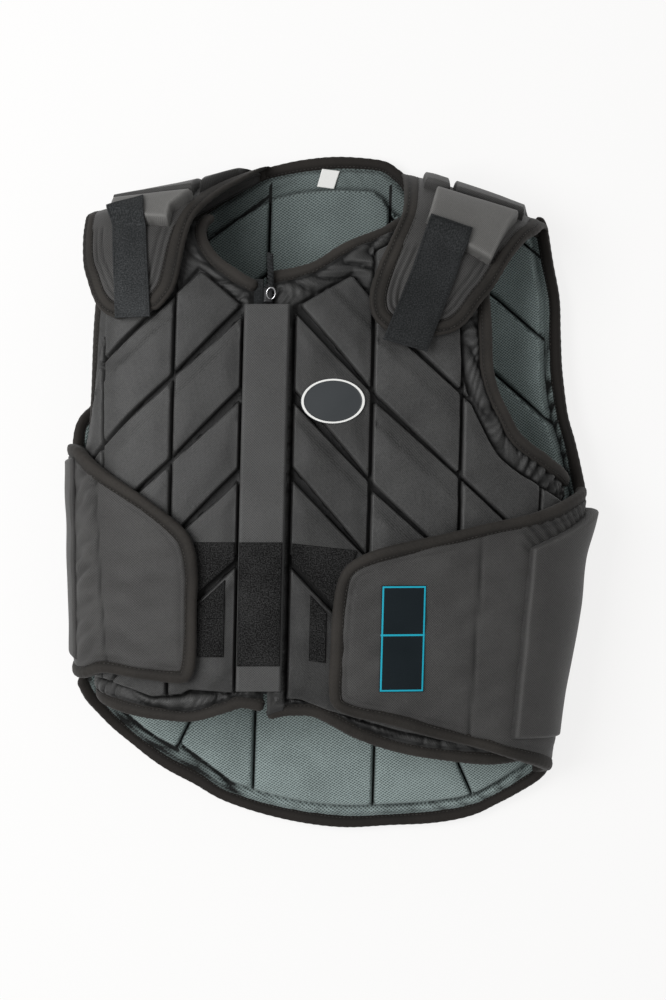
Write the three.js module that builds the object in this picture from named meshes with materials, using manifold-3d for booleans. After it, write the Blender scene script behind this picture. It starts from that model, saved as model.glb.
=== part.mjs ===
// Protective riding vest lying on its back, zip closed, its front slumped toward its left side.
// Millimetres. +Z up, +Y toward the neck, +X to the right of someone looking down on the vest.

import * as THREE from 'three';
import { mergeVertices } from 'three/addons/utils/BufferGeometryUtils.js';
import { TessellateModifier } from 'three/addons/modifiers/TessellateModifier.js';
import Module from 'manifold-3d';

const wasm = await Module();
wasm.setup();

// Pattern coordinates: u is girth from the zip line (front) or from the spine (back),
// v is length along the vest, d is height above the outer face of the foam.

// Lie of the vest
const zipLine = { x: -59, lean: 0.024 };
const spineLine = { x: -10, lean: 0.03 };
const crown = { top: 133, peakV: 40, lengthRadius: 1500, girthRadius: 800 };
const flank = {
  left: { flat: 100, taper: 0.05, radius: 65, turn: 1.6, straight: 18, under: 45 },
  right: { flat: 218, taper: 0.09, radius: 70, turn: 1.13, straight: 0, under: 45 },
};
const backBend = { flat: 150, radius: 120 };
const shoulder = {
  reach: 66,
  left: { start: 198, inner: 10, slope: 0.16, backHeight: 20.8 },
  right: { start: 193, inner: 140, slope: 0.32, backHeight: 17.8 },
};

// Thicknesses and heights
const gap = 0.9;
const flapGap = 1.7;
const skinGap = 0.5;
const foam = { thick: 22, taper: 0.08 };
const frontCloth = { low: -12.5, high: -9.5 };
const backCloth = { low: 8, high: 11 };
const binding = { wide: 11, proud: 2.5 };

// Quilting: columns of blocks cut by chevron grooves that fall away from the zip or the spine
const groove = { wide: 5, pitch: 70, smallest: 320 };
const frontQuilt = {
  rows: { first: -3, last: 6 },
  margin: { neck: 19, armhole: 10, hem: 14 },
  left: { columns: [20.5, 77, 140, 200], top: 160, slopes: [0.95, 0.86, 0.8], cut: [[58, 190], [79, 170]] },
  right: { columns: [24.5, 90, 167, 256], top: 161, slopes: [1.03, 0.88, 0.8], cut: [[71, 188], [91, 165]] },
};
const backQuilt = {
  rows: { first: -1, last: 7 },
  margin: { tail: 17, armhole: 14, collar: 28 },
  columns: [55.5, 110, 166, 206],
  top: 262,
  slopes: [0.75, 0.75, 0.75],
};
const spineColumn = { half: 50.5, top: 274, pitch: 78, rows: 7 };

// Edges of the front panels, from the zip round to the zip: girth, length
const frontEdges = {
  left: {
    hem: [[16, -170], [32, -175], [57, -182], [83, -180], [119, -174], [160, -168], [203, -160]],
    armhole: [[203, 44], [182, 58], [168, 84], [158, 119], [155, 165], [146, 215]],
    neck: [[58, 246], [45, 219], [30, 199], [14, 184]],
  },
  right: {
    hem: [[16, -178], [30, -176], [52, -178], [87, -197], [122, -209], [158, -216], [210, -220], [258, -220]],
    armhole: [[258, 27], [233, 38], [212, 59], [200, 85], [192, 110], [181, 143], [176, 215]],
    neck: [[104, 247], [85, 221], [60, 202], [35, 188], [14, 181]],
  },
};

// Edges of the back, from the tail's left end round to it: distance from the spine, length
const backEdges = {
  tail: [[-204, -160], [-170, -209], [-137, -233], [-74, -265], [-21, -279], [25, -284], [67, -282],
    [104, -277], [139, -267], [166, -254], [200, -238]],
  armhole_right: [[217, 10], [221, 30], [219, 52], [213, 79], [208, 115], [207, 155], [204, 180], [196, 208]],
  collar: [[60, 240], [61, 262], [56, 279], [38, 293], [8, 297], [-24, 294], [-52, 287], [-62, 276],
    [-68, 258]],
  armhole_left: [[-184, 218], [-189, 165], [-190, 110], [-195, 70], [-201, 40]],
};

// Waist flaps in the front's pattern, each edge from its root at the back to its free end
const waistFlap = {
  low: 2.2,
  high: 12.2,
  blockHigh: { left: 14.5, right: 19 },
  blockTaper: 0.06,
  left: {
    lower: [[225, -140], [162, -151], [127, -145], [94, -150], [62, -153], [53, -143], [51, -120]],
    upper: [[234, 54], [196, 52], [151, 40], [95, 2], [65, -22], [55, -40], [51, -66]],
    block: [[152, -132], [214, -122], [222, 32], [152, 20]],
  },
  right: {
    lower: [[296, -221], [250, -216], [186, -208], [117, -190], [76, -180], [61, -170], [58, -150]],
    upper: [[313, 14], [280, 6], [232, -10], [180, -21], [113, -37], [78, -49], [64, -66], [60, -99]],
    block: [[230, -196], [284, -203], [301, -17], [234, -30]],
  },
};

// Shoulder flaps in the front's pattern carried on over the shoulder, from the back to the free end
const shoulderFlap = {
  low: 1.6,
  high: 8.6,
  padHigh: 20,
  left: {
    inner: [[12, 366], [8, 320], [22, 286], [48, 262], [63, 240], [71, 215], [77, 187], [87, 166]],
    outer: [[156, 342], [158, 300], [157, 245], [151, 199], [139, 168], [124, 154]],
    blocks: [
      [[85, 232], [138, 236], [140, 284], [70, 284]],
      [[70, 290], [140, 290], [140, 326], [70, 338]],
      [[33, 302], [64, 284], [64, 338], [28, 344]],
    ],
    strap: { end: [[93, 152], [124, 151]], start: [[98, 250], [130, 244]], climb: { from: 211, to: 227 } },
  },
  right: {
    inner: [[126, 360], [116, 300], [118, 262], [112, 217], [97, 191], [87, 172], [97, 152]],
    outer: [[236, 330], [238, 296], [232, 245], [212, 205], [186, 168], [161, 144], [140, 137]],
    blocks: [
      [[132, 227], [164, 216], [190, 206], [216, 236], [218, 284], [142, 284]],
      [[152, 290], [218, 290], [218, 318], [152, 333]],
      [[130, 290], [147, 290], [147, 334], [138, 336]],
    ],
    strap: { end: [[96, 131], [134, 122]], start: [[130, 234], [166, 224]], climb: { from: 190, to: 209 } },
  },
};
const strapLayer = { low: 9.6, high: 12.1, rise: 11.2, rows: 12, across: 2 };

// Zip, placket and what lies on them, as boxes in the front's pattern
const zipTape = { inner: 3.1, outer: { left: 17.5, right: 14.7 }, bottom: -163, top: 174, low: -12, high: -10 };
const zipBoxes = {
  zip_chain: { left: -2.2, right: 2.2, bottom: -176, top: 181, low: -13, high: -9.7, finish: 'metal' },
  zip_slider: { left: -4.5, right: 4.5, bottom: 166, top: 179, low: -9.3, high: -3, finish: 'metal' },
  zip_pull: { left: 1, right: 5.5, bottom: 179.4, top: 208, low: -8.4, high: -5.6, finish: 'strap' },
  zip_placket: { left: -18.5, right: 19.5, bottom: -160, top: 163, low: -8.9, high: 8.5, finish: 'nylon' },
  loop_patch_placket: { left: -17.5, right: 18, bottom: -138, top: -35, low: 9, high: 10.4, finish: 'pile' },
  flap_label: { left: 100, right: 137, bottom: -160, top: -71, low: 12.8, high: 13.8, finish: 'label' },
};

// Loop patches, badge and size label
const patchLayer = { low: 0.4, high: 1.8 };
const patches = {
  left: {
    upper: [[21.5, -48], [55, -73], [55, -35], [21.5, -35]],
    lower: [[29, -131], [52, -131], [52, -84], [29, -67]],
  },
  right: {
    upper: [[25.5, -49], [66, -86], [80, -42], [25.5, -36]],
    lower: [[44, -134], [56, -136], [56, -92], [44, -81]],
  },
};
const badge = { u: 57, v: 82, halfWide: 27, halfTall: 19, low: 0.4, high: 1.6, points: 20 };
const sizeLabel = { left: -4, right: 11, bottom: 275.5, top: 288.5, low: 11.5, high: 12.3 };

// Longest pattern step along the girth and the length, by how the piece bends
const grains = {
  flat: { girth: 90, length: 160 },
  flank: { girth: 32, length: 90 },
  shoulder: { girth: 40, length: 26 },
  strip: { girth: 60, length: 60 },
};
const gridSteps = {
  frontAcross: 9,
  frontAlong: 11,
  backAcross: 12,
  backAlong: 10,
  flapAcross: 3,
  flapAlong: 12,
};
const lineSpacing = 28;
const shortestEdge = 5;

const finishes = {
  nylon: { color: 0x3e3e3e, roughness: 0.75, metalness: 0 },
  edge: { color: 0x3a3632, roughness: 0.85, metalness: 0 },
  strap: { color: 0x2c2e30, roughness: 0.9, metalness: 0 },
  pile: { color: 0x232323, roughness: 0.95, metalness: 0 },
  lining: { color: 0x75837f, roughness: 0.9, metalness: 0 },
  metal: { color: 0x2a2a2a, roughness: 0.35, metalness: 0.8 },
  white: { color: 0xe4e2dc, roughness: 0.8, metalness: 0 },
  label: { color: 0x1f2224, roughness: 0.6, metalness: 0 },
};

// Follow the girth from the crown, round the flank and under it
function section(u, v) {
  const side = u < 0 ? flank.left : flank.right;
  const flat = side.flat + side.taper * v;
  const bend = side.turn - flat / crown.girthRadius;
  const nearlyStraight = 4000;
  const arcs = [
    { radius: crown.girthRadius, length: flat },
    { radius: side.radius, length: side.radius * bend },
    { radius: nearlyStraight, length: side.straight },
    { radius: side.under, length: Infinity },
  ];
  let remaining = Math.abs(u);
  let angle = 0;
  let x = 0;
  let drop = 0;
  for (const arc of arcs) {
    const run = Math.min(remaining, arc.length);
    const next = angle + run / arc.radius;
    x += arc.radius * (Math.sin(next) - Math.sin(angle));
    drop += arc.radius * (Math.cos(angle) - Math.cos(next));
    angle = next;
    remaining -= run;
  }
  const sign = u < 0 ? -1 : 1;
  return { x: sign * x, drop, nx: sign * Math.sin(angle), nz: Math.cos(angle) };
}

// Point on the front, which bends back over the shoulder past its upper end
function frontPoint(u, v, d) {
  const end = u < 0 ? shoulder.left : shoulder.right;
  const start = end.start - end.slope * Math.max(0, Math.abs(u) - end.inner);
  const along = Math.min(v, start);
  const cut = section(u, along);
  const x = zipLine.x + zipLine.lean * along + cut.x + d * cut.nx;
  const arch = (along - crown.peakV) ** 2 / (2 * crown.lengthRadius);
  const z = (crown.top - cut.drop) * (1 - arch / crown.top) + d * cut.nz;
  if (v <= start) return new THREE.Vector3(x, v, z);
  const bend = (v - start) / shoulder.reach;
  const y = start + (shoulder.reach + d) * Math.sin(bend);
  const low = end.backHeight - d;
  return new THREE.Vector3(x, y, low + (z - low) * (1 + Math.cos(bend)) / 2);
}

// Point on the back, flat on the floor and curling up at the sides
function backPoint(u, v, d) {
  const past = Math.max(0, Math.abs(u) - backBend.flat);
  const angle = past / backBend.radius;
  const sign = u < 0 ? -1 : 1;
  const x = Math.min(Math.abs(u), backBend.flat) + (backBend.radius - d) * Math.sin(angle);
  const z = backBend.radius - (backBend.radius - d) * Math.cos(angle);
  return new THREE.Vector3(spineLine.x + spineLine.lean * v + sign * x, v, z);
}

const onLeft = (u, v, d) => frontPoint(-u, v, d);
const onBackLeft = (u, v, d) => backPoint(-u, v, d);
const sides = [
  { name: 'left', place: onLeft },
  { name: 'right', place: frontPoint },
];

const corners = (points) => points.map(([u, v]) => new THREE.Vector2(u, v));
function rectangle({ left, right, bottom, top }) {
  return corners([[left, bottom], [right, bottom], [right, top], [left, top]]);
}

const evenShares = (count) => Array.from({ length: count + 1 }, (_, k) => k / count);

// Smooth line through a few points, sampled evenly
function smoothLine(points, count) {
  const line = new THREE.SplineCurve(corners(points));
  const shortest = 3;
  return line.getSpacedPoints(count ?? Math.max(shortest, Math.round(line.getLength() / lineSpacing)));
}

// Even samples along a run of straight stretches
function resample(points, count) {
  const path = new THREE.CurvePath();
  points.slice(1).forEach((point, i) => path.add(new THREE.LineCurve(points[i], point)));
  return path.getSpacedPoints(count);
}

// Line moved sideways, to the left of its direction when the distance is positive
function offsetLine(line, distance) {
  return line.map((point, i) => {
    const before = line[Math.max(0, i - 1)];
    const after = line[Math.min(line.length - 1, i + 1)];
    const along = after.clone().sub(before).normalize();
    return new THREE.Vector2(point.x - along.y * distance, point.y + along.x * distance);
  });
}

// Rows of a narrow strip along a line, between two distances from it
function band(line, from, to) {
  const [near, far] = [offsetLine(line, from), offsetLine(line, to)];
  return near.map((point, i) => [point, far[i]]);
}

// Rows of points that fill the space between a lower, right, upper and left line
function fillRows(lower, right, upper, left, across, along) {
  const [low, high] = [resample(lower, across), resample(upper, across)];
  const [near, far] = [resample(left, along), resample(right, along)];
  return near.map((leftPoint, j) => low.map((lowPoint, i) => {
    const [s, t] = [i / across, j / along];
    const point = lowPoint.clone().multiplyScalar(1 - t).addScaledVector(high[i], t);
    point.addScaledVector(leftPoint, 1 - s).addScaledVector(far[j], s);
    point.addScaledVector(low[0], -(1 - s) * (1 - t)).addScaledVector(low[across], -s * (1 - t));
    return point.addScaledVector(high[0], -(1 - s) * t).addScaledVector(high[across], -s * t);
  }));
}

// Part of an outline on the left of the line from a to b
function clipLeft(outline, a, b) {
  const side = (p) => (b.x - a.x) * (p.y - a.y) - (b.y - a.y) * (p.x - a.x);
  const kept = [];
  outline.forEach((point, i) => {
    const next = outline[(i + 1) % outline.length];
    const here = side(point);
    const there = side(next);
    if (here >= 0) kept.push(point);
    if (here * there < 0) kept.push(point.clone().lerp(next, here / (here - there)));
  });
  return kept;
}

// Part of an outline inside a convex cell, without points that stand too close together
function clipToCell(outline, cell) {
  const cut = cell.reduce((rest, a, i) => clipLeft(rest, a, cell[(i + 1) % cell.length]), outline);
  const kept = [];
  for (const point of cut) {
    if (kept.every((other) => other.distanceTo(point) > shortestEdge)) kept.push(point);
  }
  return kept;
}

function signedVolume(vertices, triangles) {
  const corner = [new THREE.Vector3(), new THREE.Vector3(), new THREE.Vector3()];
  let volume = 0;
  for (let i = 0; i < triangles.length; i += 3) {
    corner.forEach((c, k) => c.fromArray(vertices, triangles[i + k] * 3));
    volume += corner[0].dot(corner[1].clone().cross(corner[2])) / 6;
  }
  return volume;
}

// Solid from a closed surface, turned to face out
function closedSolid(vertices, triangles) {
  if (signedVolume(vertices, triangles) < 0) triangles.reverse();
  const triVerts = new Uint32Array(triangles);
  return new wasm.Manifold(new wasm.Mesh({ numProp: 3, vertProperties: vertices, triVerts }));
}

// Closed solid between two heights over a pattern outline, bent into place.
// With a taper its upper face is that share smaller than its lower one.
function slab(outline, place, low, high, grain, taper = 0) {
  const raw = new THREE.ExtrudeGeometry(new THREE.Shape(outline), { depth: 1, bevelEnabled: false });
  raw.deleteAttribute('normal');
  raw.deleteAttribute('uv');
  const lengthScale = grain.girth / grain.length;
  const mostSplits = 24;
  raw.scale(1, lengthScale, 1);
  const fine = mergeVertices(new TessellateModifier(grain.girth, mostSplits).modify(raw));
  const middle = outline.reduce((sum, p) => sum.add(p), new THREE.Vector2()).divideScalar(outline.length);
  const position = fine.getAttribute('position');
  const vertices = new Float32Array(position.count * 3);
  for (let i = 0; i < position.count; i += 1) {
    const height = position.getZ(i);
    const flat = new THREE.Vector2(position.getX(i), position.getY(i) / lengthScale);
    flat.lerp(middle, taper * height);
    place(flat.x, flat.y, low + (high - low) * height).toArray(vertices, i * 3);
  }
  return closedSolid(vertices, [...fine.getIndex().array]);
}

// Closed solid over rows of pattern points, bent into place; its rim has its own lower height
function rowSolid(rows, place, low, high, rimLow = low) {
  const wide = rows[0].length;
  const layer = rows.length * wide;
  const onRim = (r, k) => r === 0 || k === 0 || r === rows.length - 1 || k === wide - 1;
  const under = rows.flatMap((row, r) => row.map((p, k) => place(p.x, p.y, onRim(r, k) ? rimLow : low)));
  const over = rows.flatMap((row) => row.map((p) => place(p.x, p.y, high)));
  const vertices = new Float32Array([...under, ...over].flatMap((p) => p.toArray()));
  const triangles = [];
  const face = (a, b, c, d) => triangles.push(a, b, c, a, c, d);
  for (let r = 0; r + 1 < rows.length; r += 1) {
    for (let k = 0; k + 1 < wide; k += 1) {
      const a = r * wide + k;
      face(a, a + wide, a + wide + 1, a + 1);
      face(layer + a, layer + a + 1, layer + a + wide + 1, layer + a + wide);
    }
    const [near, far] = [r * wide, r * wide + wide - 1];
    face(near, layer + near, layer + near + wide, near + wide);
    face(far, far + wide, layer + far + wide, layer + far);
  }
  for (let k = 0; k + 1 < wide; k += 1) {
    const last = (rows.length - 1) * wide + k;
    face(k, k + 1, layer + k + 1, layer + k);
    face(last, layer + last, layer + last + 1, last + 1);
  }
  return closedSolid(vertices, triangles);
}

// Closed solid over a rectangle of the pattern, in steps along its length
function boxSolid({ left, right, bottom, top, low, high }, place) {
  const steps = Math.ceil((top - bottom) / grains.strip.length);
  const rowAt = (share) => {
    const v = THREE.MathUtils.lerp(bottom, top, share);
    return corners([[left, v], [right, v]]);
  };
  return rowSolid(evenShares(steps).map(rowAt), place, low, high);
}

// Coarsest grain that still follows the bends under an outline
function grainFor(outline, flat, bendStart) {
  if (outline.some((p) => p.y > bendStart)) return grains.shoulder;
  return outline.some((p) => Math.abs(p.x) > flat) ? grains.flank : grains.flat;
}

// Height of a chevron groove at a girth: it starts at the inmost column and bends at each column
function grooveHeight(quilt, row, u) {
  let v = quilt.top - row * groove.pitch;
  quilt.slopes.forEach((slope, i) => {
    const run = Math.min(u, quilt.columns[i + 1]) - quilt.columns[i];
    if (run > 0) v -= slope * run;
  });
  return v;
}

// Outlines of the foam blocks of one half: each column cut into bands by the chevron grooves
function blockOutlines(quilt, rows, outline, inmost = outline) {
  const half = groove.wide / 2;
  const blocks = [];
  quilt.slopes.forEach((slope, i) => {
    const inner = quilt.columns[i] + (i > 0 ? half : 0);
    const outer = quilt.columns[i + 1] - half;
    const lean = half * Math.hypot(1, slope);
    for (let row = rows.first; row <= rows.last; row += 1) {
      const high = (u) => grooveHeight(quilt, row, u) - lean;
      const low = (u) => grooveHeight(quilt, row + 1, u) + lean;
      const lower = [[inner, low(inner)], [outer, low(outer)]];
      const upper = [[outer, high(outer)], [inner, high(inner)]];
      const block = clipToCell(i === 0 ? inmost : outline, corners([...lower, ...upper]));
      if (block.length > 2 && THREE.ShapeUtils.area(block) > groove.smallest) blocks.push(block);
    }
  });
  return blocks;
}

const vest = new THREE.Group();
vest.name = 'protective_vest';

function addNode(name, solid, finish) {
  const mesh = solid.getMesh();
  const geometry = new THREE.BufferGeometry();
  geometry.setAttribute('position', new THREE.BufferAttribute(new Float32Array(mesh.vertProperties), 3));
  geometry.setIndex(new THREE.BufferAttribute(new Uint32Array(mesh.triVerts), 1));
  geometry.computeVertexNormals();
  const node = new THREE.Mesh(geometry, new THREE.MeshStandardMaterial(finishes[finish]));
  node.name = name;
  vest.add(node);
}

// Folded binding over the edge of a cloth, and the slightly larger room that it takes
function bindingSolids(line, place, { low, high }) {
  const half = binding.wide / 2;
  const clear = half + skinGap;
  const deep = binding.proud + binding.wide;
  return {
    strip: rowSolid(band(line, -half, half), place, low - binding.proud, high + binding.proud),
    room: rowSolid(band(line, -clear, clear), place, low - deep, high + deep),
  };
}

// Front panels: quilted foam on cloth, bound at the hem, armhole and neck
for (const { name, place } of sides) {
  const quilt = frontQuilt[name];
  const { margin, rows } = frontQuilt;
  const hem = smoothLine(frontEdges[name].hem);
  const armhole = smoothLine(frontEdges[name].armhole);
  const neck = smoothLine(frontEdges[name].neck);
  const inset = binding.wide / 2 + gap;
  const [hemIn, armholeIn, neckIn] = [hem, armhole, neck].map((line) => offsetLine(line, inset));
  const body = fillRows(
    hemIn,
    [hemIn.at(-1), ...armholeIn],
    [...neckIn.toReversed(), armholeIn.at(-1)],
    [hemIn[0], neckIn.at(-1)],
    gridSteps.frontAcross,
    gridSteps.frontAlong,
  );
  let panel = rowSolid(body, place, -foam.thick, frontCloth.high, frontCloth.low);
  const foamEdge = [
    ...offsetLine(hem, margin.hem),
    ...offsetLine(armhole, margin.armhole),
    ...offsetLine(neck, margin.neck),
  ];
  const [apex, shoulderCorner] = corners(quilt.cut);
  const inmost = clipLeft(foamEdge, shoulderCorner, apex);
  for (const block of blockOutlines(quilt, rows, foamEdge, inmost)) {
    const grain = grainFor(block, flank[name].flat, shoulder[name].start);
    panel = panel.add(slab(block, place, frontCloth.low, 0, grain, foam.taper));
  }
  for (const [edge, line] of Object.entries({ hem, armhole, neck })) {
    const { strip, room } = bindingSolids(line, place, frontCloth);
    panel = panel.subtract(room);
    addNode(`front_${edge}_binding_${name}`, strip, 'edge');
  }
  addNode(`front_panel_${name}`, panel, 'nylon');
}

// Back: quilted foam on cloth, from the collar down to the dropped tail
{
  const { margin, rows } = backQuilt;
  const named = Object.entries(backEdges).map(([edge, points]) => [edge, smoothLine(points)]);
  const lines = Object.fromEntries(named);
  const inset = binding.wide / 2 + gap;
  const [tail, right, collar, left] = Object.values(lines).map((line) => offsetLine(line, inset));
  const body = fillRows(
    tail,
    [tail.at(-1), ...right],
    [left[0], ...collar.toReversed(), right.at(-1)],
    [tail[0], ...left.toReversed()],
    gridSteps.backAcross,
    gridSteps.backAlong,
  );
  let panel = rowSolid(body, backPoint, 0, backCloth.high, backCloth.low);
  const foamEdge = [
    ...offsetLine(lines.tail, margin.tail),
    ...offsetLine(lines.armhole_right, margin.armhole),
    ...offsetLine(lines.collar, margin.collar),
    ...offsetLine(lines.armhole_left, margin.armhole),
  ];
  const mirrored = foamEdge.map((p) => new THREE.Vector2(-p.x, p.y)).reverse();
  const addBlock = (block, place) => {
    const grain = grainFor(block, backBend.flat, Infinity);
    panel = panel.add(slab(block, place, backCloth.low, foam.thick, grain, foam.taper));
  };
  blockOutlines(backQuilt, rows, foamEdge).forEach((block) => addBlock(block, backPoint));
  blockOutlines(backQuilt, rows, mirrored).forEach((block) => addBlock(block, onBackLeft));
  for (let row = 0; row < spineColumn.rows; row += 1) {
    const top = spineColumn.top - row * spineColumn.pitch;
    const bottom = top - spineColumn.pitch + groove.wide;
    const cell = rectangle({ left: -spineColumn.half, right: spineColumn.half, bottom, top });
    const block = clipToCell(foamEdge, cell);
    if (block.length > 2) addBlock(block, backPoint);
  }
  for (const [edge, line] of Object.entries(lines)) {
    const { strip, room } = bindingSolids(line, backPoint, backCloth);
    panel = panel.subtract(room);
    addNode(`back_${edge}_binding`, strip, 'edge');
  }
  addNode('back_panel', panel, 'lining');
}

// Padded flap between two edges that run from its root to its free end, with a bound rim
function flapSolids(near, far, place, { low, high }) {
  const [nearLine, farLine] = [smoothLine(near), smoothLine(far)];
  const rim = [...nearLine, ...farLine.toReversed()];
  const inset = binding.wide + flapGap;
  const side = Math.sign(THREE.ShapeUtils.area(rim));
  const innerRim = offsetLine(rim, side * inset);
  const nearIn = resample(innerRim.slice(0, nearLine.length), gridSteps.flapAlong);
  const farIn = resample(innerRim.slice(nearLine.length).reverse(), gridSteps.flapAlong);
  const shares = evenShares(gridSteps.flapAcross);
  const rows = nearIn.map((point, i) => shares.map((share) => point.clone().lerp(farIn[i], share)));
  return {
    body: rowSolid(rows, place, low, high),
    rim: rowSolid(band(rim, 0, side * binding.wide), place, low + skinGap, high - skinGap),
  };
}

// Waist flaps: padded wings from the back's sides, each with a raised side block
for (const { name, place } of sides) {
  const { low, blockHigh, blockTaper } = waistFlap;
  const { lower, upper, block } = waistFlap[name];
  const { body, rim } = flapSolids(lower, upper, place, waistFlap);
  const raised = slab(corners(block), place, low, blockHigh[name], grains.flank, blockTaper);
  addNode(`waist_flap_${name}`, body.add(raised), 'nylon');
  addNode(`waist_binding_${name}`, rim, 'edge');
}

// Shoulder flaps: padded, carried over from the back, with foam blocks on the shoulder and a strap
for (const { name, place } of sides) {
  const { inner, outer, blocks, strap } = shoulderFlap[name];
  const { body, rim } = flapSolids(inner, outer, place, shoulderFlap);
  const { low, padHigh } = shoulderFlap;
  const onShoulder = (outline) => slab(corners(outline), place, low, padHigh, grains.shoulder, foam.taper);
  const padded = blocks.reduce((flap, outline) => flap.add(onShoulder(outline)), body);
  addNode(`shoulder_flap_${name}`, padded, 'nylon');
  addNode(`shoulder_binding_${name}`, rim, 'edge');
  const { from, to } = strap.climb;
  const onPad = (u, v, d) => place(u, v, d + strapLayer.rise * THREE.MathUtils.smoothstep(v, from, to));
  const [end, start] = [strap.end, strap.start].map((edge) => resample(corners(edge), strapLayer.across));
  const rowAt = (share) => end.map((point, k) => point.clone().lerp(start[k], share));
  const rows = evenShares(strapLayer.rows).map(rowAt);
  addNode(`shoulder_strap_${name}`, rowSolid(rows, onPad, strapLayer.low, strapLayer.high), 'strap');
}

// Zip tapes, then the chain, slider, pull, placket and the flat pieces on them
for (const { name, place } of sides) {
  const tape = { ...zipTape, left: zipTape.inner, right: zipTape.outer[name] };
  addNode(`zip_tape_${name}`, boxSolid(tape, place), 'strap');
}
for (const [name, box] of Object.entries(zipBoxes)) {
  addNode(name, boxSolid(box, frontPoint), box.finish);
}

// Loop patches on the fronts
for (const { name, place } of sides) {
  for (const [part, outline] of Object.entries(patches[name])) {
    const solid = slab(corners(outline), place, patchLayer.low, patchLayer.high, grains.strip);
    addNode(`loop_patch_${name}_${part}`, solid, 'pile');
  }
}

// Blank chest badge and blank size label
const ellipse = new THREE.EllipseCurve(badge.u, badge.v, badge.halfWide, badge.halfTall);
const badgeEdge = ellipse.getPoints(badge.points).slice(1);
addNode('chest_badge', slab(badgeEdge, frontPoint, badge.low, badge.high, grains.strip), 'white');
addNode('size_label', boxSolid(sizeLabel, backPoint), 'white');

// The middle of the vest's footprint stands on the origin
const extent = new THREE.Box3().setFromObject(vest);
const middle = extent.getCenter(new THREE.Vector3());
vest.children.forEach((node) => node.geometry.translate(-middle.x, -middle.y, -extent.min.z));

export default vest;
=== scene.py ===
import math

import bmesh
import bpy
import numpy as np
from mathutils import Matrix, Vector


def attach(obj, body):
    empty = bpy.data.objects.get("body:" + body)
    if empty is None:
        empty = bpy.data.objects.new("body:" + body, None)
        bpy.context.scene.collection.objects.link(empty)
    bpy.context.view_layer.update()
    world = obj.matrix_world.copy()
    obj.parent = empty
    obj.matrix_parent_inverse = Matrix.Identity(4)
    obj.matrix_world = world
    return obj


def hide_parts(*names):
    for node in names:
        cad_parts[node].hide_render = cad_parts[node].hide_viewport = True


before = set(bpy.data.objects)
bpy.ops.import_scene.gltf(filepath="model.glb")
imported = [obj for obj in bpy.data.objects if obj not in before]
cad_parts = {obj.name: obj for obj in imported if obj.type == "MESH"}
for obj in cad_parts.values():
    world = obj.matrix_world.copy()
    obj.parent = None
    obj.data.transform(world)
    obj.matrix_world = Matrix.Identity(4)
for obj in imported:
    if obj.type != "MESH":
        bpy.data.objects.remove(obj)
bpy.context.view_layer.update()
print("frame loaded with", len(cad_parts), "nodes")

# Pattern coordinates in millimetres: u is girth from the zip or the spine, v is length,
# d is height above the outer face of the foam on the front, or above the floor on the back.
lie = {
    "zip": (-59.0, 0.024),  # place at the chest line, lean
    "spine": (-10.0, 0.03),
    "top": 133.0,
    "peak": 40.0,
    "lengthRadius": 1500.0,
    "girthRadius": 800.0,
    "backFlat": 150.0,
    "backRadius": 120.0,
    "reach": 66.0,  # bend over the shoulder
    "middle": (4.401, -6.158),
}
flanks = {
    "left": {"flat": 100.0, "taper": 0.05, "radius": 65.0, "turn": 1.6, "straight": 18.0, "under": 45.0},
    "right": {"flat": 221.0, "taper": 0.115, "radius": 70.0, "turn": 1.13, "straight": 0.0, "under": 45.0},
}
shoulders = {
    "left": {"start": 198.0, "inner": 10.0, "slope": 0.16, "backHeight": 20.8},
    "right": {"start": 193.0, "inner": 140.0, "slope": 0.32, "backHeight": 17.8},
}


def toFrame(x, y, z):  # pattern millimetres to the shared frame in metres
    return np.stack([x + lie["middle"][0], y + lie["middle"][1], z], -1) * 0.001


def frontPoint(u, v, d):  # the front, round the flanks and back over the shoulders
    u, v, d = np.broadcast_arrays(*(np.asarray(a, float) for a in (u, v, d)))
    sign = np.where(u < 0, -1.0, 1.0)

    def pick(table, key):
        return np.where(u < 0, table["left"][key], table["right"][key])

    past = np.maximum(0, np.abs(u) - pick(shoulders, "inner"))
    start = pick(shoulders, "start") - pick(shoulders, "slope") * past
    along = np.minimum(v, start)
    flat = pick(flanks, "flat") + pick(flanks, "taper") * along
    bend = pick(flanks, "turn") - flat / lie["girthRadius"]
    arcs = (
        (lie["girthRadius"], flat),
        (pick(flanks, "radius"), pick(flanks, "radius") * bend),
        (4000.0, pick(flanks, "straight")),
        (pick(flanks, "under"), 1e9),
    )
    rest, angle, x, drop = np.abs(u), 0.0 * u, 0.0 * u, 0.0 * u
    for radius, length in arcs:
        run = np.minimum(rest, length)
        after = angle + run / radius
        x = x + radius * (np.sin(after) - np.sin(angle))
        drop = drop + radius * (np.cos(angle) - np.cos(after))
        angle, rest = after, rest - run
    acrossX = lie["zip"][0] + lie["zip"][1] * along + sign * (x + d * np.sin(angle))
    arch = (along - lie["peak"]) ** 2 / (2 * lie["lengthRadius"])
    z = (lie["top"] - drop) * (1 - arch / lie["top"]) + d * np.cos(angle)
    over = np.maximum(0, v - start) / lie["reach"]
    y = np.where(v > start, start + (lie["reach"] + d) * np.sin(over), v)
    low = pick(shoulders, "backHeight") - d
    z = np.where(v > start, low + (z - low) * (1 + np.cos(over)) / 2, z)
    return toFrame(acrossX, y, z)


def leftPoint(u, v, d):
    return frontPoint(-np.asarray(u, float), v, d)


def backPoint(u, v, d):  # flat on the floor, curling up at the sides
    u, v, d = np.broadcast_arrays(*(np.asarray(a, float) for a in (u, v, d)))
    angle = np.maximum(0, np.abs(u) - lie["backFlat"]) / lie["backRadius"]
    x = np.minimum(np.abs(u), lie["backFlat"]) + (lie["backRadius"] - d) * np.sin(angle)
    z = lie["backRadius"] - (lie["backRadius"] - d) * np.cos(angle)
    return toFrame(lie["spine"][0] + lie["spine"][1] * v + np.where(u < 0, -x, x), v, z)


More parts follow.
